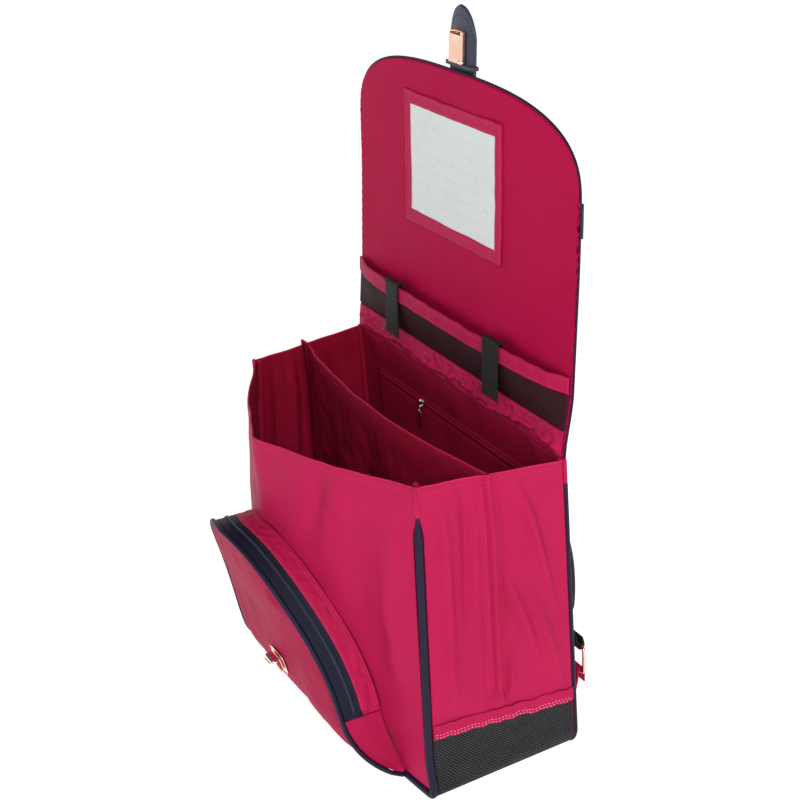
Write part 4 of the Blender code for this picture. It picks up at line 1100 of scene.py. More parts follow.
@dataclass(frozen=True)
class FlapForm:
    """Sizes and shape of the lifted flap, measured up along it from the back wall's top."""

    body: BodyForm = BodyForm()
    lean: float = math.radians(3.5)
    length: float = 0.289
    half_foot: float = 0.1850
    half: float = 0.1875
    corner_rise: float = 0.075
    corner_power: float = 2.9
    thick: float = 3.0 * MM
    pipe: float = 1.5 * MM
    curl: float = 0.0035
    curl_rise: float = 0.060
    curl_top: float = 0.2
    crown: float = 0.003
    crown_start: float = 0.15
    pleat_top: float = 0.0255
    pleat_depth: float = 0.0022
    pleats: int = 9
    net_top: float = 0.0580
    net_bulge: float = 0.0110
    net_power: float = 6.0
    net: float = 1.2 * MM
    binding_height: float = 0.0150
    binding: float = 2.2 * MM
    lining: float = 1.2 * MM
    board: float = 1.8 * MM
    tab: float = 3.0 * MM

    def point(self, x: Array, t: Array, out: Array) -> Array:
        """Place on the flap: t up along it, out towards the front from its middle surface.

        The sides curl back by curl * (x / half)^2 and the top's middle crowns forward.

        Args:
            x: Place across.
            t: Length up from the foot.
            out: Height over the middle surface.

        Returns:
            The place.
        """
        side = (x / self.half) ** 2
        upper = smooth((t - self.crown_start) / (self.length - self.crown_start))
        curl = self.curl * side * smooth(t / self.curl_rise) * lerp(1.0, self.curl_top, upper)
        out = out - curl + self.crown * (1.0 - side) * upper
        y = self.body.back_y_top + t * math.sin(self.lean) - out * math.cos(self.lean)
        z = self.body.height + GAP + t * math.cos(self.lean) + out * math.sin(self.lean)
        return np.stack(np.broadcast_arrays(x, y, z), -1)

    def frame(self, x: float, t: float, out: float) -> Matrix:
        """Frame of a hard piece on the flap: X across, Y out of its back, Z up along it."""
        spot = Vector(self.point(np.array(x), np.array(t), np.array(out)).tolist())
        return Matrix.Translation(spot) @ Matrix.Rotation(-self.lean, 4, "X")

    def width(self, t: Array) -> Array:
        """Half-width of the flap, which opens a little over the net pocket."""
        return lerp(self.half_foot, self.half, smooth(t / self.net_top))

    def top(self, share: Array) -> Array:
        """Height of the top edge: a superellipse, length - rise * (1 - (1 - |s|^p)^(1 / p))."""
        crown = (1.0 - np.abs(share) ** self.corner_power) ** (1.0 / self.corner_power)
        return self.length - self.corner_rise * (1.0 - crown)

    def net_out(self, share: Array, t: Array) -> Array:
        """Stand-off of the net pocket: a quarter sine up to its mouth, full to near both sides."""
        seat = self.thick / 2 + GAP + self.net / 2
        climb = np.clip((t - self.pleat_top) / (self.net_top - self.pleat_top), 0.0, 1.0)
        rise = np.sin(0.5 * math.pi * climb)
        return seat + self.net_bulge * rise * (1.0 - np.abs(share) ** self.net_power)

    def tab_out(self) -> float:
        """Stand-off of the closure tab's middle surface, behind the flap."""
        return -(self.thick / 2 + GAP + self.board + GAP + self.tab / 2)

    def edge(self, away: float, sides: int, arch: int) -> Tuple[Array, Array]:
        """Line along the flap's edge, moved off it along its own normal.

        Args:
            away: Distance outward.
            sides: Steps of a straight side.
            arch: Steps of the arched top.

        Returns:
            The line's x and t, up the right side and down the left.
        """
        side = np.linspace(0.0, 1.0, sides + 1)[:-1] * float(self.top(np.array(1.0)))
        turn = np.sin(np.linspace(0.5, -0.5, arch + 1) * math.pi)
        x = np.concatenate((self.width(side), turn * self.half, -self.width(side[::-1])))
        t = np.concatenate((side, self.top(turn), side[::-1]))
        along = unit(np.stack((np.gradient(x), np.gradient(t)), -1))
        return x + along[:, 1] * away, np.clip(t - along[:, 0] * away, 0.0, None)


@dataclass(frozen=True)
class PocketForm:
    """Sizes and shape of the front pocket, an arch that stands out from the front wall."""

    body: BodyForm = BodyForm()
    half: float = 0.112
    foot_half: float = 0.140
    foot: float = 0.010
    flare_power: float = 2.2
    spring: float = 0.058
    rise: float = 0.157
    depth: float = 0.041
    depth_start: float = 0.0064
    depth_rise: float = 0.0145
    dome: float = 0.007
    dome_power: float = 0.7
    band: float = 0.0190
    pipe: float = 2.2 * MM
    tape: float = 1.4 * MM
    teeth: float = 1.0 * MM

    def flare(self, z: Array) -> Array:
        """Widening below the spring of the arch, a power of the way down."""
        low = np.clip((self.spring - z) / (self.spring - self.foot), 0.0, 1.0)
        return (self.foot_half - self.half) * low ** self.flare_power

    def wall_start(self) -> float:
        """Stand-off at which the walls begin."""
        return self.body.cloth / 2 + 2.0 * GAP

    def depth_at(self, z: Array) -> Array:
        """Stand-off of the rim: full depth times 1 - exp(-height / rise)."""
        rise = 1.0 - np.exp(-(z - self.foot + self.depth_start) / self.depth_rise)
        return np.maximum(self.depth * rise, self.wall_start() + 1.0 * MM + GAP + self.pipe)

    def half_at(self, z: Array) -> Array:
        """Half-width at a height: an ellipse over the spring, plus the flare."""
        climb = np.clip((z - self.spring) / self.rise, 0.0, 1.0)
        return self.half * np.sqrt(1.0 - climb ** 2) + self.flare(z)

    def arch(self, inset: float, foot: float, sides: int, steps: int) -> Tuple[Array, Array]:
        """Outline from the right foot over the crown to the left foot, as x and z."""
        side = np.linspace(foot, self.spring, sides + 1)[:-1]
        turn = np.linspace(0.0, math.pi, steps + 1)
        half = self.half + self.flare(side) - inset
        x = np.concatenate((half, (self.half - inset) * np.cos(turn), -half[::-1]))
        z = np.concatenate((side, self.spring + (self.rise - inset) * np.sin(turn), side[::-1]))
        return x, z

    def rim(self, x: Array, z: Array) -> Array:
        """Stand-off at which a wall ends, clear of the piping along it."""
        y = self.body.front_y(x, z) - self.depth_at(z)
        slope = np.gradient(y) / np.hypot(np.gradient(x), np.gradient(z))
        return self.depth_at(z) - (self.pipe + GAP) * np.sqrt(1.0 + slope ** 2)

    def face_y(self, x: Array, z: Array) -> Array:
        """Depth of the face: straight from edge to edge, domed by 1 - share^4 and a sine up."""
        half = self.half_at(z)
        share = np.clip(np.abs(x) / np.maximum(half, GAP), 0.0, 1.0)
        up = np.clip((z - self.foot) / (self.spring + self.rise - self.foot), 0.0, 1.0)
        dome = self.dome * (1.0 - share ** 4) * np.sin(math.pi * up) ** self.dome_power
        return self.body.front_y(half, z) - self.depth_at(z) - dome


# Body of the bag

@dataclass
class Body:
    """Walls, base, divider, piping and inner pocket of the bag."""

    wear: Wardrobe
    form: BodyForm = BodyForm()
    gusset_fold: float = 0.0080
    front_fold: float = 0.0068
    lip_crease: float = 0.004
    lip_crease_width: float = 0.016
    crumple: float = 0.65 * MM
    lip_roll: float = 0.85 * MM
    ear: float = 2.5 * MM
    front_seam: float = 3.0 * MM
    front_seam_in: float = 2.6 * MM
    back_seam: float = 2.6 * MM
    back_seam_in: float = 3.2 * MM
    hem: float = 1.0 * MM
    hem_pucker: float = 0.8 * MM
    seam_from_lip: float = 0.0055
    lining_thick: float = 1.2 * MM
    lining_half: float = 0.150
    lining_deep: float = 0.138
    lining_sag: float = 0.006
    zip_drop: float = 0.037
    zip_width: float = 0.010
    gusset_folds: Table = (
        # depth at, height at, lean (deg), half length, half width, fold
        (0.14, 0.60, 0.0, 0.42, 0.046, 0.70),
        (0.30, 0.78, 4.0, 0.30, 0.044, -0.60),
        (0.78, 0.78, -32.0, 0.22, 0.036, 0.85),
        (0.66, 0.52, -36.0, 0.20, 0.034, 0.75),
        (0.84, 0.42, -30.0, 0.16, 0.036, 0.65),
        (0.90, 0.62, -30.0, 0.18, 0.032, -0.45),
        (0.56, 0.30, 12.0, 0.10, 0.022, 0.55),
        (0.44, 0.29, -14.0, 0.09, 0.022, 0.50),
    )
    front_folds: Table = (
        # width at, height at, lean (deg), half length, half width, fold
        (0.58, 0.93, -14.0, 0.12, 0.060, 0.80),
        (0.44, 0.90, 16.0, 0.14, 0.060, -0.80),
        (-0.30, 0.94, -20.0, 0.14, 0.080, -0.60),
        (0.86, 0.60, 0.0, 0.30, 0.050, 0.50),
        (0.70, 0.50, -8.0, 0.30, 0.090, -0.50),
        (0.90, 0.80, 2.0, 0.16, 0.026, 0.25),
        (0.50, 0.84, -40.0, 0.05, 0.030, 0.20),
    )

    def front(self, u: Array, v: Array) -> Array:
        """Front wall: the bulge, less a crease at the lip, the folds and small ripples."""
        form = self.form
        inset = form.front_pipe + GAP
        radius = form.front_corner - inset
        floor = form.front_pipe + inset
        share = 2.0 * u - 1.0
        z = lerp(floor, form.height, v)
        lean, reach = self.tack(z)
        x = share * (form.u_half(z, form.pipe_half(z) - inset, radius, floor) + reach + lean)
        calm = inward(share, 0.12) * smooth((z / form.height - 0.2) / 0.2)
        high = smooth(3.0 * z / form.height - 2.0)
        crease = self.lip_crease * np.exp(-(x / self.lip_crease_width) ** 2) * high
        calm = calm * lerp(0.35, 1.0, smooth((1.0 - v) / 0.14))
        fold = self.front_fold * folds(self.front_folds, share, z / form.height) * calm
        edge = inward(share, 0.05) * smooth(v / 0.05)
        small = self.crumple * ripples(x, z, 0.050, 3) * edge
        pucker = 0.35 * MM * np.sin(TURN * z / 0.011) * np.exp(-(1.0 - np.abs(share)) / 0.03) * edge
        lip = lean * np.abs(share) ** 14
        return places(x, form.front_y(x, z) - crease - fold - small - pucker - lip, z)

    def tack(self, z: Array) -> Tuple[Array, Array]:
        """Outward lean of the corner above the piping, and how far both walls reach to meet there."""
        form = self.form
        start = form.height - form.front_drop
        lean = form.tack_out * smooth((z - start) / form.front_drop)
        return lean, (form.front_pipe + GAP - 1.0 * MM) * smooth((z - start + 0.020) / 0.022)

    def side(self, u: Array, v: Array) -> Array:
        """Right side wall: skin less half the cloth, plus pinch, folds and small ripples."""
        form = self.form
        z = lerp(form.band_top + GAP, form.height, v)
        foot = form.hem_foot + form.hem_height
        away = np.abs(u - form.divider_share(z))
        clear = (smooth((z - foot) / form.fin_foot_rise) * between(u, 0.08)
                 * smooth((away - 0.03) / 0.06) * lerp(0.2, 1.0, smooth((1.0 - v) / 0.16)))
        fold = self.gusset_fold * folds(self.gusset_folds, u, z / form.height) * clear
        small = self.crumple * ripples(u * 0.13 + 0.3, z, 0.042, 7) * between(u, 0.05)
        start, end = form.side_limits(z)
        lean, reach = self.tack(z)
        start = start - reach - lean
        small = small * smooth((away - 0.02) / 0.05) - reach * 0.3 * (1.0 - u) ** 30
        valley = 2.0 * MM * np.exp(-((np.abs(u - form.divider_share(z)) - 0.055) / 0.028) ** 2) * clear
        x = form.side_x(u, z) - form.cloth / 2 + 1.5 * form.fin(u, z) + fold + small - valley
        x = x + lean * (1.0 - u) ** 20
        ear = self.ear * form.fin(u, z) / form.fin_out * smooth((v - 0.95) / 0.05)
        return places(x, lerp(start, end, u), z + ear)

    def build_walls(self) -> None:
        """Front wall, both sides and the back wall."""
        wear, form = self.wear, self.form
        # The inner faces take the lining, whose darker colour is partly painted shade of the inside.
        surface("front_wall", Sheet(self.front).grid(140, 170, 0.5), form.cloth, wear.wall, Slot.BAG,
                ("front_panel",), wear.lining)
        side = Sheet(self.side).grid(140, 120)
        for word in ("right", "left"):
            surface("side_wall_" + word, side, form.cloth, wear.wall, Slot.BAG, ("gusset_" + word,),
                    wear.lining)
            side = mirrored(side)

        def back(u: Array, v: Array) -> Array:
            """Back wall inside its piping, with shallow ripples."""
            inset = form.back_pipe + GAP
            radius = form.back_corner - inset
            floor = form.back_pipe + inset
            z = lerp(floor, form.height, v)
            x = (2.0 * u - 1.0) * form.u_half(z, form.back_half - form.back_set - inset, radius, floor)
            wave = 1.1 * MM * ripples(x, z, 0.05, 21) * between(u, 0.04)
            return places(x, form.back_y(z) + wave, z)
        surface("back_wall", Sheet(back).grid(70, 90, 0.6), form.back, wear.lining, Slot.BAG,
                ("back_panel",), wear.wall)

    def build_base(self) -> None:
        """Net band under the bag, and the puckered hems over its upper edge."""
        form = self.form
        steps = (14, 14, 60)
        points = form.band(np.linspace(0.0, 1.0, 60)[:, None], steps)
        along = np.linspace(0.0, 1.0, 60)[:, None]
        side = smooth((points[..., 2] - form.back_corner) / 0.02)
        wave = 0.45 * MM * ripples(points[..., 1], points[..., 2], 0.03, 31) * side
        wave = wave * between(along, 0.06)
        points[..., 0] += np.sign(points[..., 0]) * wave
        surface("base_net_band", points[:, ::-1], form.base, self.wear.net, Slot.NET, ("base_band",))

        def hem(u: Array, v: Array) -> Array:
            """Strip over the join, pulled in by each stitch and bent by the cloth beneath."""
            z = lerp(form.hem_foot, form.hem_foot + form.hem_height, v)
            start, end = form.side_limits(z)
            y = lerp(start, end, u)
            pull = np.abs(np.sin(math.pi * y / 0.0072 + 0.6 * np.sin(TURN * y / 0.031)))
            puff = self.hem_pucker * pull * np.sin(math.pi * np.clip(v, 0.0, 1.0)) ** 0.6
            edge = 0.9 * MM * ripples(y, z * 0.2, 0.017, 33) * smooth(u / 0.05)
            x = form.side_x(u, z) + GAP + self.hem / 2 + puff
            return places(x, y, z + edge)
        sheet = Sheet(hem)
        thread = Stitching(3.4 * MM, 2.2 * MM, 0.36 * MM)
        points = sheet.grid(26, 170)
        for sign, word in SIDES:
            surface("base_hem_" + word, points, self.hem, self.wear.wall, Slot.BAG, ("hem_" + word,))
            points = mirrored(points)
            u = np.linspace(0.01, 0.99, 160)
            lines = sheet.rows(u, (0.14, 0.34), self.hem / 2 + THREAD)
            turn = np.array((sign, 1.0, 1.0))
            lines = [(spots * turn, normals * turn) for spots, normals in lines]
            thread.sew("hem_stitches_" + word, lines, self.wear.pale_thread, Slot.BAG)

    def build_edges(self) -> None:
        """Pipings, top rolls, corner tacks and the stitch rows under the rims."""
        form, wear = self.form, self.wear
        x, z = form.u_path(form.height - form.front_drop, form.pipe_half,
                           form.front_corner - form.front_pipe, form.front_pipe, (60, 16, 90))
        path = places(x, form.front_y(x, z), z)
        taper = lerp(0.3, 1.0, smooth((form.height - form.front_drop - z) / 0.020))
        tube("front_seam_piping", path, form.front_pipe * taper, wear.navy, Slot.NAVY, ("front_piping",), 16)
        half = form.back_half - form.back_set
        x, z = form.u_path(form.height - form.back_drop, lambda at: half + 0.0 * at,
                           form.back_corner - form.back_pipe, form.back_pipe, (40, 20, 30))
        path = places(x, form.back_y(z), z)
        tube("back_seam_piping", path, form.back_pipe, wear.navy, Slot.NAVY, ("back_piping",))
        u = np.linspace(0.004, 0.996, 260)
        lip = self.front(u, np.ones_like(u))
        lip[:, 2] -= 0.4 * MM
        tube("lip_roll", lip, self.lip_roll, wear.edge, Slot.BAG, (), 10, UP)
        seam = (form.height - self.seam_from_lip) / form.height
        sheet = Sheet(self.front)
        thread = Stitching()
        thread.sew("lip_stitches", sheet.rows(u, (seam,), form.cloth / 2 + THREAD), wear.thread, Slot.BAG)
        side = Sheet(self.side)
        for sign, word in SIDES:
            turn = np.array((sign, 1.0, 1.0))
            top = side.shape(u, np.ones_like(u)) * turn
            top[:, 2] -= 0.4 * MM
            tube("side_roll_" + word, top, self.lip_roll, wear.edge, Slot.BAG, (), 10, UP)
            rows = side.rows(u, (0.977,), form.cloth / 2 + THREAD)
            at = float(form.divider_share(0.9 * form.height))
            down = np.linspace(0.96, 0.12, 120)
            rows += [side.line(0.0 * down + at - 0.036, down, form.cloth / 2)]
            rows = [(spots * turn, normals * turn) for spots, normals in rows]
            thread.sew("side_stitches_" + word, rows, wear.thread, Slot.BAG)
            self.build_tack(sign, word)
            z = np.linspace(form.height - form.back_drop - 2.0 * MM, form.height - 0.2 * MM, 30)
            path = places(sign * (form.back_half - form.back_set), form.back_y(z), z)
            tube("back_corner_" + word, path, 0.96 * form.back_pipe, wear.wall, Slot.BAG)

    def build_inner_seams(self) -> None:
        """Bound seams inside, down both corners and along the floor, over the joins beside the pipings."""
        form, wear = self.form, self.wear
        top, steps = form.height - 0.2 * MM, (50, 14, 60)
        inset = self.front_seam_in
        x, z = form.u_path(top, lambda at: form.pipe_half(at) - inset,
                           form.front_corner - form.front_pipe - inset, form.front_pipe + inset, steps)
        path = places(x, form.front_y(x, z) + self.front_seam, z)
        tube("inner_seam_front", path, self.front_seam, wear.lining, Slot.LINING)
        inset = self.back_seam_in
        x, z = form.u_path(top, lambda at: form.back_half - inset + 0.0 * at, form.back_corner - inset,
                           inset, steps)
        path = places(x, form.back_y(z) - self.back_seam, z)
        tube("inner_seam_back", path, self.back_seam, wear.lining, Slot.LINING)

    def build_tack(self, sign: float, word: str) -> None:
        """Sewn pinch at a front top corner: a flattened roll that leans out, with two rows of stitches."""
        form = self.form
        z = np.linspace(form.height - form.front_drop + 2.0 * GAP, form.height, 40)
        lean = smooth((z - z[0]) / (z[-1] - z[0]))
        x = sign * (form.pipe_half(z) + form.tack_out * lean)
        path = places(x, form.front_edge(z) - form.tack_out * lean, z)
        radii = form.tack_radius * lerp(0.72, 0.50, lean) * (1.0 + 0.05 * np.sin(TURN * z / 0.0045))
        tube("corner_pinch_" + word, path, radii, self.wear.wall, Slot.BAG, ("corner_tack_" + word,), 16)
        lines = []
        for ahead in (-1.0, 1.0):
            out = unit(places(sign * (0.7 - 0.5 * ahead), -0.7 - 0.5 * ahead,
                              0.0 * z))
            aside = places(np.full_like(z, -sign * (1.0 + ahead)), np.full_like(z, 1.0 - ahead), 0.0 * z)
            spread = aside * lerp(0.2, 1.3, lean)[:, None] * MM
            lines.append((path + out * radii[:, None] + spread, out))
        thread = Stitching(2.6 * MM, 1.8 * MM, 0.3 * MM)
        thread.sew("corner_stitches_" + word, lines, self.wear.thread, Slot.BAG)

    def divider(self, u: Array, v: Array) -> Array:
        """Wall between the compartments, bowed forward at its top, with soft vertical waves."""
        form = self.form
        at = form.divider_share(0.0)
        section = form.band(np.array(float(at)), (2, 6, 4))
        along = unit(np.stack((np.gradient(section[:, 0]), np.gradient(section[:, 2])), -1))
        away = form.base / 2 + 2.0 * GAP
        rows = 9
        low_half = (section[:, 0] + along[:, 1] * away)[rows - 1::-1]
        low_z = (section[:, 2] - along[:, 0] * away)[rows - 1::-1]
        high_z = np.linspace(form.band_top, form.height, 6)[1:]
        high_half = form.side_x(form.divider_share(high_z), high_z) - away - form.base / 2
        heights = np.concatenate((low_z, high_z))
        z = lerp(heights[0], form.height, v)
        half = np.interp(z, heights, np.concatenate((low_half, high_half)))
        share = 2.0 * u - 1.0
        x = share * half
        hold = inward(share, 0.1)
        wave = (0.0022 * ripples(x, 0.3 * z, 0.075, 41) + 0.9 * MM * ripples(x, z, 0.03, 43)) * hold
        wave = wave * lerp(0.25, 1.0, smooth((1.0 - v) / 0.2))
        y = form.divider_y - form.divider_bow * (1.0 - share ** 2) * smooth(z / form.height) + wave
        return places(x, y, z)

    def build_inside(self) -> None:
        """Divider with its bound edge, and the zip pocket on the back wall."""
        form, wear = self.form, self.wear
        sheet = Sheet(self.divider)
        surface("middle_divider", sheet.grid(70, 120, 0.3), self.lining_thick, wear.lining, Slot.LINING,
                ("divider",))
        u = np.linspace(0.0, 1.0, 200)
        top = self.divider(u, np.ones_like(u))
        top[:, 2] -= 0.4 * MM
        tube("divider_roll", top, 0.7 * self.lip_roll, wear.edge, Slot.LINING, (), 10, UP)
        Stitching().sew("divider_stitches", sheet.rows(u, (0.975,), 0.7 * MM), wear.seam, Slot.LINING)
        zip_z = form.height - self.zip_drop

        def pocket(u: Array, v: Array) -> Array:
            """Flat pocket that sags off the back wall, with soft drapes."""
            share = 2.0 * u - 1.0
            z = lerp(zip_z - self.lining_deep, zip_z - self.zip_width / 2 - GAP, v)
            face = form.back_y(z) - form.back / 2 - GAP - 0.6 * MM
            drape = 0.5 + 0.5 * ripples(share * self.lining_half, 0.35 * z, 0.05, 47)
            sag = self.lining_sag * (1.0 - share ** 4) * np.sin(math.pi * v) * (0.45 + 0.75 * drape)
            return places(share * self.lining_half, face - sag, z)
        surface("inner_zip_pocket", Sheet(pocket).grid(40, 90), self.lining_thick, wear.lining, Slot.LINING,
                ("inner_pocket",))

        def tape(u: Array, v: Array) -> Array:
            """Tape of the inner zip."""
            z = zip_z + self.zip_width * (v - 0.5)
            y = form.back_y(z) - form.back / 2 - GAP - 0.7 * MM
            return places((2.0 * u - 1.0) * self.lining_half, y, z)
        strip = Sheet(tape)
        surface("inner_zip_tape", strip.grid(4, 60), self.lining_thick, wear.lining, Slot.LINING,
                ("inner_zip",))
        u = np.linspace(0.01, 0.99, 200)
        Stitching().sew("inner_zip_stitches", strip.rows(u, (0.12, 0.88), 0.7 * MM), wear.seam, Slot.LINING)
        Stitching(1.5 * MM, 1.1 * MM, 0.9 * MM).sew("inner_zip_teeth", strip.rows(u, (0.5,), 0.8 * MM),
                                                    wear.lining, Slot.LINING)


# Zip pulls

@dataclass
class ZipPull:
    """A slider of a height and depth, and the pull that hangs on it, both of plated metal."""

    wear: Wardrobe
    slider: float = 0.0090
    depth: float = 0.0045
    length: float = 0.0220
    width: float = 0.0070
    thick: float = 1.6 * MM

    def build(self, name: str, node: str, slot: Slot, metal: Finish) -> Piece:
        """Join slider, bridge and ring-ended pull, seated where the frame's node is.

        Args:
            name: Name of the piece.
            node: Node that it replaces.
            slot: Material slot.
            metal: Finish.

        Returns:
            The finished piece.
        """
        low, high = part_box(node)
        turned = abs((high.x - low.x) - self.width) > 0.3 * MM
        seat = Vector(((low.x + high.x) / 2, high.y, high.z - self.slider / 2 - self.thick))
        matrix = Matrix.Translation(seat)
        if turned:
            seat = Vector((high.x, (low.y + high.y) / 2, high.z - self.slider / 2 - self.thick))
            matrix = Matrix.Translation(seat) @ Matrix.Rotation(-math.pi / 2, 4, "Z")
        parts = []
        body = pillow((self.width, 0.62 * self.depth, self.slider), 3.2, 0.9 * MM, 0.3 * MM)
        parts.append(body + np.array((0.0, -0.31 * self.depth, 0.0)))
        turn = np.linspace(0.05, 0.95, 17) * math.pi
        bridge = places(0.0 * turn, -0.55 * self.depth - (self.depth - 1.2 * MM) * np.sin(turn) * 0.75,
                        0.42 * self.slider * np.cos(turn))
        parts.append(tube_rings(bridge, 0.8 * MM, 10, (1.0, 0.0, 0.0)))
        turn = turns(32)
        hang = -self.depth - 0.2 * MM
        centre = -self.slider / 2 - 0.6 * MM
        ring = places(0.32 * self.width * np.sin(turn), hang,
                      centre + 0.55 * self.width * np.cos(turn))
        parts.append(tube_rings(ring, 0.62 * MM, 10, (0.0, 1.0, 0.0), True))
        size = (0.78 * self.width, 0.85 * self.thick, self.length - 3.0 * MM)
        plate = pillow(size, 3.4, 0.6 * MM, 0.2 * MM)
        parts.append(plate + np.array((0.0, hang, -self.slider / 2 - self.length / 2 - 1.2 * MM)))
        return join_skins(name, [placed(part, matrix) for part in parts], (False, False, True, False),
                          metal, slot, (node,))


def join_skins(name: str, parts: Sequence[Array], wraps: Sequence[bool], material: Finish,
               slot: Slot, nodes: Sequence[str] = (), body: str = "root") -> Piece:
    """One object of several closed skins.

    Args:
        name: Name of the piece.
        parts: Rings by points by 3 of each skin.
        wraps: Whether the last ring of each joins its first.
        material: Finish.
        slot: Material slot.
        nodes: Nodes that it replaces.
        body: Body that it rides on.

    Returns:
        The finished piece.
    """
    faces, loops, corners, start = [], [], [], 0
    for part, wrap in zip(parts, wraps):
        rows, columns = part.shape[:2]
        some, at = quads(rows, columns, wrap, True, start)
        faces += some.tolist()
        loops.append(metre_map(part, at).reshape(-1, 2))
        if not wrap:
            faces += [list(range(start, start + columns))[::-1],
                      list(range(start + (rows - 1) * columns, start + rows * columns))]
            loops.append(np.zeros((2 * columns, 2)))
        corners.append(part.reshape(-1, 3))
        start += rows * columns
    piece = make_object(name, np.concatenate(corners), faces, np.concatenate(loops), (material,))
    piece.data.set_sharp_from_angle(angle=math.radians(50.0))
    return finish_piece(piece, slot, nodes, body)


# Flap

@dataclass
class Flap:
    """The lifted flap with its net pocket, straps, card window, outer band and handle."""

    wear: Wardrobe
    form: FlapForm = FlapForm()
    crumple: float = 0.35 * MM
    sew_pucker: float = 0.08 * MM
    ruffle: float = 0.75 * MM
    strap_x: float = 0.090
    strap_width: float = 0.025
    strap_foot: float = 0.0235
    strap_inside: float = 0.030
    strap_lift: float = 0.35 * MM
    strap_fall: float = 0.03
    strap_thick: float = 1.5 * MM
    window_x: float = -0.004
    window_t: float = 0.1985
    window_width: float = 0.148
    window_height: float = 0.098
    border: Tuple[float, float] = (0.0105, 0.0120)
    frame_thick: float = 1.4 * MM
    vinyl: float = 0.8 * MM
    band_t: float = 0.204
    band_width: float = 0.029
    handle_t: float = 0.072
    handle_x: float = 0.090
    handle_width: float = 0.024
    handle_rise: float = 0.036
    handle_thick: float = 0.007
    handle_end: float = 0.030

    def panel(self, u: Array, v: Array) -> Array:
        """Padded flap under its arched top, puckered along the sewn edge."""
        form = self.form
        share = np.clip(2.0 * u - 1.0, -1.0, 1.0)
        share = np.sin(0.5 * math.pi * share)
        t = v * form.top(share)
        x = share * form.width(t)
        edge = np.minimum((1.0 - np.abs(share)) * form.half, form.top(share) - t)
        run = np.where((1.0 - np.abs(share)) * form.half < form.top(share) - t, t, x)
        pucker = self.sew_pucker * np.sin(TURN * run / 0.009) * np.exp(-edge / 0.006)
        out = self.crumple * ripples(x, t, 0.075, 51) * smooth(edge / 0.02) + pucker
        return form.point(x, t, out)

    def build_panel(self) -> None:
        """Panel and its piping."""
        form, wear = self.form, self.wear
        sheet = Sheet(self.panel, 1.0)
        points = sheet.grid(110, 140)
        surface("flap_body", points, form.thick, wear.flap, Slot.FLAP, ("flap_panel",), wear.wall)
        x, t = form.edge(0.45 * form.pipe, 60, 150)
        path = form.point(x, t, 0.0 * t - 0.7 * MM)
        tube("flap_edge_piping", path, 0.7 * form.pipe, wear.navy, Slot.NAVY, ("flap_piping",))

    def facing(self, x: Array, t: Array) -> Array:
        """Normal of the flap's inner face, lean included."""
        normal = np.array((0.0, -math.cos(self.form.lean), math.sin(self.form.lean)))
        return np.broadcast_to(normal, (*np.broadcast(x, t).shape, 3))

    def strip(self, u: Array, v: Array) -> Array:
        """Puckered strip at the flap's foot: pleats, a ridge along its middle and creases."""
        form = self.form
        share = 2.0 * u - 1.0
        x = share * (form.half_foot - GAP)
        pleat = 0.5 + 0.5 * np.sin(share * math.pi * form.pleats + 1.5 * v)
        crease = 0.5 + 0.5 * ripples(x, v * 0.02, 0.014, 57)
        ridge = np.exp(-((v - 0.45 - 0.12 * np.sin(TURN * x / 0.11)) / 0.10) ** 2)
        rise = np.sin(math.pi * np.clip(v, 0.0, 1.0)) ** 0.7
        depth = 1.9 * form.pleat_depth * (0.25 * pleat + 0.75 * crease + 0.8 * ridge) * rise
        out = form.thick / 2 + GAP + form.lining / 2 + depth * inward(share, 0.04)
        return form.point(x, lerp(form.lining, form.pleat_top - 3.0 * GAP, v), out)

    def net(self, u: Array, v: Array) -> Array:
        """Net pocket, slack between its straps."""
        form = self.form
        share = 2.0 * u - 1.0
        t = lerp(form.pleat_top, form.net_top - GAP, v)
        slack = 0.7 * MM * ripples(share * 0.187, t, 0.05, 59) * inward(share, 0.1)
        out = form.net_out(share, t) + slack * np.sin(0.5 * math.pi * v)
        return form.point(share * form.width(t), t, out)

    def binding(self, u: Array, v: Array) -> Array:
        """Stitched edge of the net: ruffled along its free rim and puffed between its seams."""
        form = self.form
        share = 2.0 * u - 1.0
        t = form.net_top + form.binding_height * v
        x = share * form.width(t)
        hold = inward(share, 0.03)
        ruffle = self.ruffle * ripples(x, 0.0 * x, 0.019, 61) * hold
        puff = 0.35 * MM * np.abs(np.sin(math.pi * x / 0.0068)) * np.sin(math.pi * v)
        t = t + 0.55 * MM * ripples(x, 0.0 * x, 0.03, 63) * v * hold
        out = form.net_out(share, t) + (form.binding - form.net) / 2 + ruffle * (0.35 + 0.65 * v) + puff
        return form.point(x, t, out)

    def build_pocket(self) -> None:
        """Puckered strip, net, its stitched edge and the two straps over it."""
        form, wear = self.form, self.wear
        sheet = Sheet(self.strip)
        surface("hinge_puckers", sheet.grid(30, 300), form.lining, wear.wall, Slot.BAG, ("hinge_strip",))
        u = np.linspace(0.01, 0.99, 260)
        lines = sheet.rows(u, (0.90,), form.lining / 2 + THREAD)
        Stitching().sew("hinge_stitches", lines, wear.thread, Slot.BAG)
        x = np.linspace(-1.0, 1.0, 80) * (form.half_foot - 2.0 * MM)
        seam = places(x, 0.0 * x + form.body.back_y_top, 0.0 * x + form.body.height)
        tube("hinge_seam", seam, 0.45 * form.body.back, wear.wall, Slot.BAG, (), 10)
        surface("flap_net", Sheet(self.net).grid(24, 160), form.net, wear.pocket_net, Slot.NET,
                ("flap_pocket_mesh",))
        sheet = Sheet(self.binding)
        surface("flap_net_binding", sheet.grid(20, 300), form.binding, wear.wall, Slot.BAG,
                ("flap_pocket_binding",))
        lines = sheet.rows(u, (0.16, 0.80), form.binding / 2 + THREAD)
        Stitching(3.2 * MM, 2.3 * MM, 0.24 * MM).sew("binding_stitches", lines, wear.thread, Slot.BAG)
        for sign, word in SIDES:
            self.build_strap(sign, word)

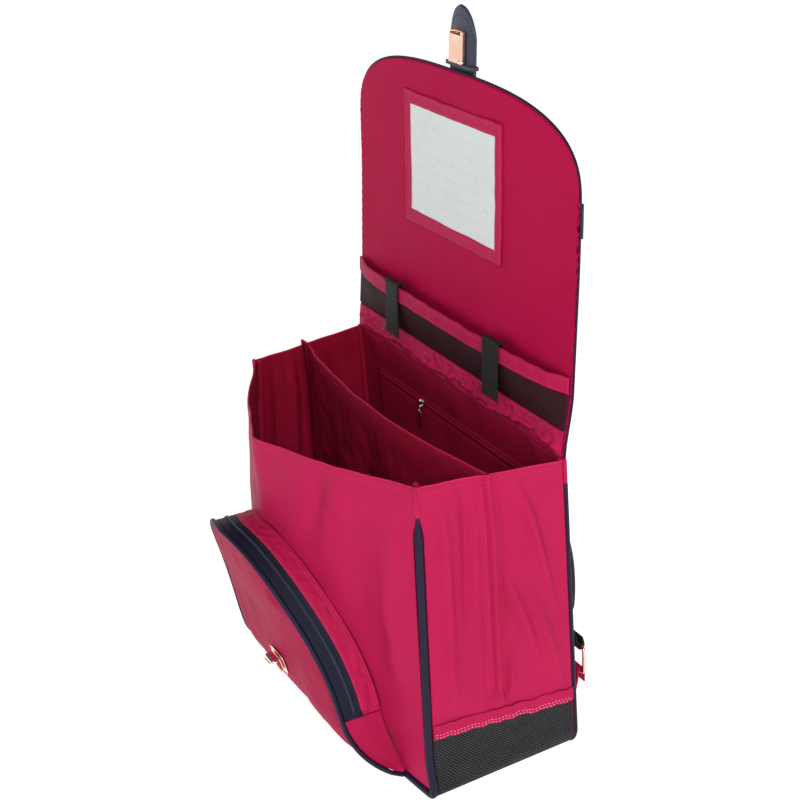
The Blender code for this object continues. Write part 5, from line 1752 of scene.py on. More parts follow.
    def build_strap(self, sign: float, word: str) -> None:
        """Webbing up inside the net, over its mouth and down the front, where it hangs free."""
        form = self.form
        mouth = form.net_top + form.binding_height
        edges = (self.strap_x + self.strap_width * np.array((-0.5, 0.5))) / form.half
        inside = form.net / 2 + GAP + self.strap_thick / 2 + self.strap_lift
        outside = form.binding - form.net / 2 + GAP + self.strap_thick / 2 + self.strap_lift
        pleats = form.thick / 2 + 2.0 * GAP + form.lining + form.pleat_depth + self.strap_thick / 2
        low = float(form.net_out(edges[1], np.array(mouth))) - inside
        high = float(form.net_out(edges[0], np.array(mouth))) + outside + self.ruffle
        reach = (high - low) / 2
        rising = np.linspace(mouth - self.strap_inside, mouth, 16)[:-1]
        turn = np.linspace(math.pi, 0.0, 15)
        falling = np.linspace(mouth, self.strap_foot, 50)[1:]
        t = np.concatenate((rising, mouth + 0.9 * MM + reach * np.sin(turn), falling))
        out = np.concatenate((
            form.net_out(edges[1], rising) - inside,
            low + reach * (1.0 + np.cos(turn)),
            np.maximum(high - self.strap_fall * (mouth - falling), pleats)))
        across = sign * self.strap_x + self.strap_width * np.linspace(-0.5, 0.5, 13)[None, :]
        points = form.point(across, t[:, None], out[:, None])
        surface("net_strap_" + word, points, self.strap_thick, self.wear.webbing, Slot.WEBBING,
                ("flap_strap_" + word,))

    def build_window(self) -> None:
        """Card window: a puffed, double-stitched frame round a card behind clear film."""
        form, wear = self.form, self.wear
        seat = form.thick / 2 + GAP
        inner = np.array((self.window_width, self.window_height)) / 2
        outer = inner + np.array(self.border)
        steps = 60
        side = np.linspace(-1.0, 1.0, steps + 1)[:-1]
        ones = np.ones(steps)
        around = np.concatenate((np.stack((side, -ones), -1), np.stack((ones, side), -1),
                                 np.stack((-side, ones), -1), np.stack((-ones, -side), -1)))
        rise = np.array((0.0, 0.55, 0.86, 1.0, 1.0, 0.92, 0.92, 1.0, 1.0, 0.86, 0.55, 0.0, -0.15, -0.15))
        share = np.array((0.0, 0.0, 0.03, 0.09, 0.30, 0.42, 0.58, 0.70, 0.91, 0.97, 1.0, 1.0, 0.8, 0.2))
        place = lerp((around * inner)[:, None], (around * outer)[:, None], share[None, :, None])
        wavy = 0.6 * MM * ripples(place[..., 0], place[..., 1], 0.03, 71) * smooth(share)[None, :]
        x = self.window_x + place[..., 0] + wavy * np.abs(around[:, None, 0])
        t = self.window_t + place[..., 1] + wavy * np.abs(around[:, None, 1])
        lift = 0.25 * MM * ripples(place[..., 0], place[..., 1], 0.022, 73)
        out = seat + self.frame_thick * rise[None] + np.where(rise > 0.5, 1.0, 0.0)[None] * lift
        rings = form.point(x, t, out)
        piece = skin("window_border", rings, wear.wall, True)
        finish_piece(piece, Slot.BAG, ("window_frame",))
        lines = []
        for away in (0.22, 0.80):
            ring = np.concatenate((around, around[:1])) * lerp(inner, outer, away)
            points = form.point(self.window_x + ring[:, 0], self.window_t + ring[:, 1],
                                seat + self.frame_thick + 0.15 * MM + 0.0 * ring[:, 0])
            lines.append((points, self.facing(ring[:, 0], ring[:, 1])))
        Stitching(3.4 * MM, 2.6 * MM, 0.24 * MM).sew("window_stitches", lines, wear.thread, Slot.BAG)

        def film(u: Array, v: Array) -> Array:
            """Card and film, a little wavy."""
            x = self.window_x + (2.0 * u - 1.0) * (self.window_width / 2 + 1.0 * MM)
            t = self.window_t + (2.0 * v - 1.0) * (self.window_height / 2 + 1.0 * MM)
            wave = 0.18 * MM * ripples(x, t, 0.05, 77)
            return form.point(x, t, seat + self.vinyl / 2 + wave)
        card = Card("ruled_card", (0.520, 0.560, 0.545), (0.330, 0.400, 0.420), 0.0135, 0.012,
                    self.window_width, self.window_height).material()
        surface("window_card", Sheet(film).grid(40, 60), self.vinyl, card, Slot.CARD, ("window_sheet",))

    def build_outside(self) -> None:
        """Board band across the outer face, and the carry handle on it."""
        form, wear = self.form, self.wear

        def band(u: Array, v: Array) -> Array:
            """Band from edge to edge of the flap."""
            x = (2.0 * u - 1.0) * (form.half + form.pipe + GAP)
            t = self.band_t + self.band_width * (v - 0.5)
            return form.point(x, t, -(form.thick / 2 + GAP + form.board / 2) + 0.0 * t)
        sheet = Sheet(band, -1.0)
        surface("outer_board_band", sheet.grid(16, 120), form.board, wear.leather, Slot.LEATHER,
                ("outer_band",))
        u = np.linspace(0.01, 0.99, 220)
        lines = sheet.rows(u, (0.12, 0.88), form.board / 2 + THREAD)
        Stitching().sew("outer_band_stitches", lines, wear.dark_thread, Slot.LEATHER)
        turn = np.linspace(0.0, math.pi, 61)
        across = self.handle_x * np.cos(turn)
        lift = self.handle_rise * np.sin(turn) ** 0.6
        ends = self.handle_x + self.handle_end * np.linspace(1.0, 0.05, 12)
        across = np.concatenate((ends, across, -ends[::-1]))
        lift = np.concatenate((np.zeros(12), lift, np.zeros(12)))
        thick = lerp(form.board, self.handle_thick, smooth(lift / (0.5 * self.handle_rise)))
        run, climb = np.gradient(across), np.gradient(lift)
        size = np.hypot(run, climb)
        angle = turns(32)
        wide = squared(np.cos(angle), 0.45)
        deep = 0.5 + 0.5 * squared(np.sin(angle), 0.6)
        x = across[:, None] + (thick * climb / size)[:, None] * deep
        high = lift[:, None] - (thick * run / size)[:, None] * deep
        t = self.handle_t + self.handle_width / 2 * wide + 0.0 * x
        rings = form.point(x, t, -(form.thick / 2 + GAP + high))
        finish_piece(skin("carry_handle", rings, wear.leather), Slot.LEATHER, ("handle",))
        lines = []
        for sign in (1.0, -1.0):
            box_x = sign * (self.handle_x + self.handle_end * np.array((0.15, 0.92, 0.92, 0.15, 0.15)))
            box_t = self.handle_t + 0.38 * self.handle_width * np.array((-1.0, -1.0, 1.0, 1.0, -1.0))
            steps = np.linspace(0.0, 4.0, 81)
            x, t = np.interp(steps, range(5), box_x), np.interp(steps, range(5), box_t)
            points = form.point(x, t, -(form.thick / 2 + GAP + form.board + 0.15 * MM) + 0.0 * t)
            lines.append((points, -self.facing(x, t)))
        Stitching().sew("handle_stitches", lines, wear.dark_thread, Slot.LEATHER)


# Closure tab and clasp

@dataclass
class Closure:
    """Tab over the flap's tip with its keeper, clasp plate, pin and turning lever."""

    wear: Wardrobe
    form: FlapForm = FlapForm()
    width: float = 0.040
    foot: float = 0.205
    over: float = 0.0565
    curve: float = 0.0025
    point: float = 0.034
    keeper_width: float = 0.046
    keeper_height: float = 0.0034
    keeper_bar: float = 1.2 * MM
    clasp_width: float = 0.0200
    lever_length: float = 0.0240
    lever_thick: float = 1.6 * MM
    plate: float = 1.0 * MM
    cheek: float = 1.6 * MM
    barrel: float = 1.8 * MM
    pin: float = 0.8 * MM

    def tab(self, u: Array, v: Array) -> Array:
        """Convex tab whose tip is 1 - (1 - 0.96 s^2)^0.5 lower at its sides."""
        form = self.form
        share = np.sin(0.5 * math.pi * np.clip(2.0 * u - 1.0, -1.0, 1.0))
        tip = self.point * (1.0 - np.sqrt(np.clip(1.0 - 0.96 * share ** 2, 0.0, 1.0)))
        t = lerp(self.foot, form.length + self.over - tip, v)
        return form.point(share * self.width / 2, t, form.tab_out() - self.curve * share ** 2 + 0.0 * t)

    def build(self) -> None:
        """All pieces of the closure."""
        form, wear = self.form, self.wear
        sheet = Sheet(self.tab)
        surface("tab_board", sheet.grid(70, 40), form.tab, wear.leather, Slot.LEATHER, ("closure_tab",))
        turn = np.linspace(0.0, 1.0, 60)
        u = np.concatenate((np.full(60, 0.12), np.linspace(0.12, 0.88, 60)[1:-1], np.full(60, 0.88)))
        v = np.concatenate((0.05 + 0.89 * turn, np.full(58, 0.94), 0.94 - 0.89 * turn))
        Stitching().sew("tab_stitches", [sheet.line(u, v, form.tab / 2 + THREAD)], wear.dark_thread,
                        Slot.LEATHER)
        low = form.length + 2.0 * form.pipe + 2.0 * GAP
        self.build_keeper(low)
        self.build_clasp(low + self.keeper_height)

    def build_keeper(self, low: float) -> None:
        """Loop round the tab: a flat bar carried round a rounded rectangle."""
        form = self.form
        front = form.tab_out() + form.tab / 2 + GAP
        back = form.tab_out() - self.curve - form.tab / 2 - GAP
        half = (self.keeper_width / 2 - self.keeper_bar / 2, (front - back) / 2 + self.keeper_bar / 2)
        angle = turns(120)
        x = half[0] * squared(np.cos(angle), 0.22)
        y = half[1] * squared(np.sin(angle), 0.22)
        path = np.stack((x, y), -1)
        normal = unit(np.stack((np.roll(y, -1) - np.roll(y, 1), np.roll(x, 1) - np.roll(x, -1)), -1))
        section = turns(16)
        thick = self.keeper_bar / 2 * squared(np.cos(section), 0.5)
        tall = self.keeper_height / 2 * squared(np.sin(section), 0.5)
        flat = path[:, None] + normal[:, None] * thick[None, :, None]
        rings = places(flat[..., 0], flat[..., 1], np.broadcast_to(tall, flat.shape[:2]))
        matrix = form.frame(0.0, low + self.keeper_height / 2, (front + back) / 2)
        piece = skin("tab_loop", placed(rings, matrix), self.wear.leather, True)
        finish_piece(piece, Slot.LEATHER, ("tab_keeper",))

    def build_clasp(self, low: float) -> None:
        """Channel plate with raised rim and studs, the pin with its bright ends, and the lever."""
        form, wear = self.form, self.wear
        out = form.tab_out() + form.tab / 2 + GAP + self.plate / 2
        axis_t = low + GAP + self.barrel
        axis_out = out + self.plate / 2 + GAP + self.barrel
        length = self.lever_length + 2.0 * self.barrel
        middle_t = low + GAP + length / 2
        base = form.frame(0.0, middle_t, out)
        hinge = form.frame(0.0, axis_t, axis_out)
        depth = self.barrel + self.pin + self.cheek / 2 + self.plate + GAP
        parts = [pillow((self.clasp_width, self.plate, length), 7.0, 0.35 * MM)]
        rim = pillow((self.cheek, depth, length), 6.0, 0.45 * MM)
        shift = (self.clasp_width - self.cheek) / 2
        for sign in (1.0, -1.0):
            parts.append(rim + np.array((sign * shift, self.plate / 2 - depth / 2, 0.0)))
        parts = [placed(part, base) for part in parts]
        join_skins("clasp_channel_plate", parts, (False,) * 3, wear.metal, Slot.METAL, ("clasp_base",))
        across = np.linspace(-0.5, 0.5, 9) * (self.clasp_width + 1.0 * MM)
        rod = places(across, 0.0 * across, 0.0 * across)
        heads = [tube_rings(rod, self.pin, 16, (0.0, 0.0, 1.0))]
        for sign in (1.0, -1.0):
            head = np.array(((0.0, 0.0, 0.0), (0.5 * MM, 0.0, 0.0), (0.9 * MM, 0.0, 0.0)))
            head[:, 0] = sign * (head[:, 0] + self.clasp_width / 2)
            heads.append(tube_rings(head, 1.5 * self.pin, 16, (0.0, 0.0, 1.0)))
        join_skins("clasp_hinge_pin", [placed(part, hinge) for part in heads], (False,) * 3, wear.bright,
                   Slot.METAL, ("clasp_pin",))
        inside = self.clasp_width - 2.0 * self.cheek - 0.6 * MM
        plate = pillow((inside, self.lever_thick, self.lever_length), 6.0, 0.5 * MM, 0.25 * MM)
        plate += np.array((0.0, -self.barrel + self.lever_thick / 2, self.lever_length / 2))
        across = np.linspace(-0.5, 0.5, 7) * inside * 0.98
        roll = tube_rings(places(across, 0.0 * across, 0.0 * across), self.barrel, 24, (0.0, 0.0, 1.0))
        parts = [plate, roll]
        for sign in (1.0, -1.0):
            stud = pillow((2.4 * MM, 0.8 * MM, 2.4 * MM), 2.0, 0.4 * MM)
            parts.append(stud + np.array((sign * 0.3 * inside, -self.barrel - 0.3 * MM,
                                          0.82 * self.lever_length)))
        lip = np.linspace(-0.4, 0.4, 9) * inside
        parts.append(tube_rings(np.stack((lip, 0.0 * lip - self.barrel,
                                          0.0 * lip + self.lever_length - 1.2 * MM),
                                         -1), 0.9 * MM, 12, (0.0, 0.0, 1.0)))
        join_skins("clasp_turning_lever", [placed(part, hinge) for part in parts], (False,) * len(parts),
                   wear.metal, Slot.METAL, ("clasp_lever",), "lever")


# Front pocket

@dataclass
class FrontPocket:
    """Domed pocket with its band, zip, piping and lock."""

    wear: Wardrobe
    form: PocketForm = PocketForm()
    lock_z: float = 0.066
    lock: Tuple[float, float, float] = (0.022, 0.010, 0.017)
    lock_plate: Tuple[float, float, float] = (0.028, 1.2 * MM, 0.023)

    def strip(self, inset: float, low: Formula,
              high: Formula, wave: float, seed: int) -> Formula:
        """Wall along the arch between two stand-offs from the front wall.

        Args:
            inset: Inset from the outline.
            low: Stand-off of its foot at x, z.
            high: Stand-off of its rim at x, z.
            wave: Depth of its small waves.
            seed: Seed of the waves.

        Returns:
            The strip's formula.
        """
        form = self.form

        def shape(u: Array, v: Array) -> Array:
            """Arch at the angle pi * u, at a share of the stand-off."""
            turn = math.pi * u
            ripple = wave * ripples(u * 0.43, v * 0.02, 0.017, seed) * np.sin(math.pi * np.clip(v, 0.0, 1.0))
            x = (form.half - inset + ripple) * np.cos(turn)
            z = form.spring + (form.rise - inset + ripple) * np.sin(turn)
            out = lerp(low(x, z), high(x, z), v)
            return places(x, form.body.front_y(x, z) - out, z)
        return shape

    def rim_at(self, x: Array, z: Array) -> Array:
        """Stand-off of the wall's rim along the arch, from the outline's own slope."""
        form = self.form
        turn = np.linspace(0.0, math.pi, 400)
        arch_x, arch_z = form.half * np.cos(turn), form.spring + form.rise * np.sin(turn)
        rim = form.rim(arch_x, arch_z)
        angle = np.arctan2((z - form.spring) / form.rise, x / form.half)
        return np.interp(angle, turn, rim)

    def build_walls(self) -> None:
        """Cloth band with its double seam, zip tape, teeth and the corner pieces."""
        form, wear = self.form, self.wear
        inset = form.body.cloth / 2
        start = form.wall_start()
        band = Sheet(self.strip(inset, lambda x, z: start + 0.0 * x, lambda x, z: form.band + 0.0 * x,
                                0.5 * MM, 81))
        surface("pocket_cloth_band", band.grid(24, 300), form.body.cloth, wear.wall, Slot.BAG,
                ("pocket_band",))
        u = np.linspace(0.012, 0.988, 320)
        rows = band.rows(u, (0.10, 0.26, 0.90), form.body.cloth / 2 + THREAD)
        Stitching(3.3 * MM, 2.4 * MM, 0.24 * MM).sew("pocket_band_stitches", rows, wear.thread, Slot.BAG)
        tape = Sheet(self.strip(inset, lambda x, z: form.band + GAP + 0.0 * x, self.rim_at, 0.15 * MM, 83))
        surface("pocket_tape", tape.grid(20, 300), form.tape, wear.tape, Slot.NAVY, ("pocket_zip_tape",))
        turn = np.linspace(0.01, 0.99, 400)
        rows = tape.rows(turn, (0.14, 0.86), form.tape / 2 + THREAD)
        thread = Stitching(3.0 * MM, 2.2 * MM, 0.25 * MM)
        thread.sew("pocket_tape_stitches", rows, wear.dark_thread, Slot.NAVY)
        self.build_teeth(tape)
        roll = band.shape(u, np.ones_like(u))
        tube("pocket_band_fold", roll, 1.0 * MM, wear.edge, Slot.BAG, (), 8)
        self.build_corners(inset, start)

    def build_teeth(self, tape: Sheet) -> None:
        """Two rows of moulded teeth that mesh, as short cross spindles along the tape's middle."""
        form = self.form
        u = np.linspace(0.012, 0.988, 900)
        points, normals = tape.line(u, 0.0 * u + 0.42, form.tape / 2 + GAP + 0.3 * MM)
        along = unit(np.gradient(points, axis=0))
        across = np.cross(along, normals)
        run = lengths(points)
        pitch = 2.6 * MM
        parts = []
        for sign in (1.0, -1.0):
            at = np.arange(pitch * (0.5 + 0.25 * sign), run[-1], pitch)
            spot, way, side, lift = [read_along(at, run, field) for field in
                                     (points, unit(along), unit(across), unit(normals))]
            corner = np.array(((-1, -1, -1), (1, -1, -1), (1, 1, -1), (-1, 1, -1),
                               (-1, -1, 1), (1, -1, 1), (1, 1, 1), (-1, 1, 1)), float)
            narrow = np.where(corner[:, 2] > 0, 0.7, 1.0)
            tooth = (spot[:, None] + way[:, None] * (0.55 * MM * corner[:, 0] * narrow)[None, :, None]
                     + side[:, None] * (sign * 0.45 * MM + 1.0 * MM * corner[:, 1] * narrow)[None, :, None]
                     + lift[:, None] * (0.45 * MM * corner[:, 2])[None, :, None])
            parts.append(tooth)
        teeth = np.concatenate(parts)
        box = np.array(((0, 3, 2, 1), (4, 5, 6, 7), (0, 1, 5, 4), (1, 2, 6, 5), (2, 3, 7, 6), (3, 0, 4, 7)))
        faces = (box[None] + 8 * np.arange(len(teeth))[:, None, None]).reshape(-1, 4)
        piece = make_object("pocket_teeth", teeth, faces.tolist(), np.zeros((faces.size, 2)),
                            (self.wear.teeth,))
        finish_piece(piece, Slot.NAVY, ("pocket_zip_teeth",))

    def build_corners(self, inset: float, start: float) -> None:
        """Cloth pieces below both ends of the zip, which spread towards the foot."""
        form = self.form

        def corner(u: Array, v: Array) -> Array:
            """Right corner: up the flare by u, out from the front wall by v."""
            z = lerp(form.foot - 0.004, form.spring - 2.0 * GAP, u)
            half = form.half + form.flare(z) - inset
            line_z = np.linspace(form.foot, form.spring - 2.0 * GAP, 60)
            line_x = form.half + form.flare(line_z) - inset
            high = np.interp(z, line_z, np.maximum(form.rim(line_x, line_z), start + 1.0 * MM))
            wave = 0.4 * MM * ripples(z, v * 0.02, 0.02, 87) * np.sin(math.pi * v)
            return places(half + wave, form.body.front_y(half, z) - lerp(start, high, v), z)
        points = Sheet(corner).grid(24, 50)
        for word in ("right", "left"):
            surface("pocket_foot_" + word, points[:, ::-1], form.body.cloth, self.wear.wall, Slot.BAG,
                    ("pocket_corner_" + word,))
            points = mirrored(points)

    def face(self, u: Array, v: Array) -> Array:
        """Domed face inside its piping, with soft dents and puckers along the seam."""
        form = self.form
        inset = form.pipe + 2.0 * GAP
        share = np.sin(0.5 * math.pi * np.clip(2.0 * u - 1.0, -1.0, 1.0))
        crown = form.spring + (form.rise - inset) * np.sqrt(np.clip(1.0 - share ** 2, 0.0, 1.0))
        z = lerp(form.foot, crown, v)
        low = np.clip((form.spring - z) / (form.spring - form.foot), 0.0, 1.0)
        spread = (form.foot_half - form.half) / (form.spring - form.foot)
        slope = spread * form.flare_power * low ** (form.flare_power - 1.0)
        x = share * (form.half + form.flare(z) - inset * np.sqrt(1.0 + slope ** 2))
        edge = np.minimum(np.minimum((1.0 - np.abs(share)) * form.half, crown - z), z - form.foot)
        hold = smooth(edge / 0.02)
        turn = np.arctan2(z - form.spring, x)
        pucker = 0.35 * MM * np.sin(TURN * turn * 14.0) * np.exp(-edge / 0.012) * smooth(edge / 0.003)
        dent = 1.3 * MM * ripples(x, z, 0.085, 91) + 0.35 * MM * ripples(x, z, 0.03, 93)
        calm = smooth(np.hypot(x, z - self.lock_z) / 0.03 - 0.7)
        return places(x, form.face_y(x, z) + (dent * calm) * hold + pucker, z)

    def build_face(self) -> None:
        """Face, its piping and the seam inside it."""
        form, wear = self.form, self.wear
        sheet = Sheet(self.face)
        surface("pocket_domed_face", sheet.grid(100, 130), form.body.cloth, wear.face, Slot.BAG,
                ("pocket_face",))
        x, z = form.arch(0.0, form.foot, 40, 200)
        path = places(x, form.body.front_y(x, z) - form.depth_at(z), z)
        tuck = np.linspace(1.0, 0.0, 8)[:-1, None]
        ends = [path[at] + tuck * ((0.0, form.depth_start + 0.004, -0.006 * tuck.max())) for at in (0, -1)]
        path = np.concatenate((ends[0], path, ends[1][::-1]))
        tube("pocket_seam_piping", path, form.pipe, wear.navy, Slot.NAVY, ("pocket_piping",))
        turn = np.linspace(0.03, 0.97, 300)
        lines = sheet.rows(turn, (0.975,), form.body.cloth / 2 + THREAD)
        Stitching(3.2 * MM, 2.3 * MM, 0.26 * MM).sew("pocket_face_stitches", lines, wear.edge, Slot.BAG)

    def build_lock(self) -> None:
        """Plate and case of the lock, seated where the frame's are, with a keyway and a latch bar."""
        form, wear = self.form, self.wear
        half = self.lock_plate[2] / 2
        low, middle, high = form.face_y(0.0, self.lock_z + half * np.array((-1.0, 0.0, 1.0)))
        tilt = math.atan2(high - low, 2.0 * half)
        seat = Matrix.Translation((0.0, float(middle), self.lock_z)) @ Matrix.Rotation(-tilt, 4, "X")
        plate_y = -(form.body.cloth / 2 + 2.0 * GAP + self.lock_plate[1] / 2)
        plate = pillow(self.lock_plate, 5.0, 0.4 * MM) + np.array((0.0, plate_y, 0.0))
        parts = [plate]
        for x, z in ((-1, -1), (1, -1), (-1, 1), (1, 1)):
            stud = pillow((2.6 * MM, 0.9 * MM, 2.6 * MM), 2.0, 0.45 * MM)
            parts.append(stud + np.array((x * 0.0122, plate_y - 0.9 * MM, z * 0.0098)))
        join_skins("lock_back_plate", [placed(part, seat) for part in parts], (False,) * 5, wear.metal,
                   Slot.METAL, ("lock_plate",))
        case_y = plate_y - self.lock_plate[1] / 2 - GAP - self.lock[1] / 2
        case = pillow(self.lock, 4.6, 2.2 * MM, 0.8 * MM) + np.array((0.0, case_y, 0.0))
        front = case_y - self.lock[1] / 2 - 0.4 * MM
        bar = pillow((self.lock[0] * 0.62, 1.4 * MM, 3.4 * MM), 4.0, 0.6 * MM)
        bar = bar + np.array((0.0, front, 0.0048))
        key = pillow((3.4 * MM, 1.0 * MM, 6.0 * MM), 2.4, 0.4 * MM) + np.array((0.0, front, -0.0045))
        # The case is in the paler plate, a painted reflection of white light on rose plating.
        join_skins("lock_front_case", [placed(part, seat) for part in (case, bar, key)], (False,) * 3,
                   wear.bright, Slot.METAL, ("lock_case",))


# Back of the bag

def soften(piece: Piece) -> None:
    """Even out a remeshed pad and subdivide it once."""
    calm = piece.modifiers.new("calm", "SMOOTH")
    calm.factor = 0.5
    calm.iterations = 8
    round_off = piece.modifiers.new("round", "SUBSURF")
    round_off.levels = 1
    round_off.render_levels = 1


def inflate(piece: Piece, cap: float, pressure: float = 4.0, voxel: float = 4.0 * MM) -> None:
    """Blow a closed shape up as cloth, and keep the result.

    The shape is remeshed in even voxels and simulated for twenty frames without weight. No
    point moves further than the cap. The cloth is applied, with one subdivision after it.

    Args:
        piece: The closed shape, a little smaller than the pad.
        cap: Furthest that a point may move.
        pressure: Pressure inside.
        voxel: Size of the remesh.
    """
    bpy.context.view_layer.objects.active = piece
    remesh = piece.modifiers.new("even", "REMESH")
    remesh.mode = "VOXEL"
    remesh.voxel_size = voxel
    scene = bpy.context.scene
    view = bpy.context.evaluated_depsgraph_get()
    piece.data = bpy.data.meshes.new_from_object(piece.evaluated_get(view))
    piece.modifiers.clear()
    count = len(piece.data.vertices)
    before = np.zeros(count * 3)
    piece.data.vertices.foreach_get("co", before)
    cloth = piece.modifiers.new("cloth", "CLOTH")
    cloth.settings.use_pressure = True
    cloth.settings.uniform_pressure_force = pressure
    cloth.settings.effector_weights.gravity = 0.0
    cloth.settings.quality = 6
    cloth.point_cache.frame_start = 1
    cloth.point_cache.frame_end = 20
    for frame in range(1, 21):
        scene.frame_set(frame)
    view = bpy.context.evaluated_depsgraph_get()
    blown = piece.evaluated_get(view).to_mesh()
    after = np.zeros(count * 3)
    blown.vertices.foreach_get("co", after)
    piece.evaluated_get(view).to_mesh_clear()
    piece.modifiers.clear()
    scene.frame_set(1)
    move = (after - before).reshape(-1, 3)
    size = np.maximum(np.linalg.norm(move, axis=1, keepdims=True), 1e-9)
    before = (before.reshape(-1, 3) + move * np.minimum(size, cap) / size).ravel()
    piece.data.vertices.foreach_set("co", before)
    piece.data.update()
    piece.data.shade_smooth()
    soften(piece)


def slab_rings(inner: Array, outer: Array) -> Array:
    """Rings of a flat tube between two grids of the same shape, each ring one row out and back."""
    return np.concatenate((inner, outer[:, ::-1]), axis=1)


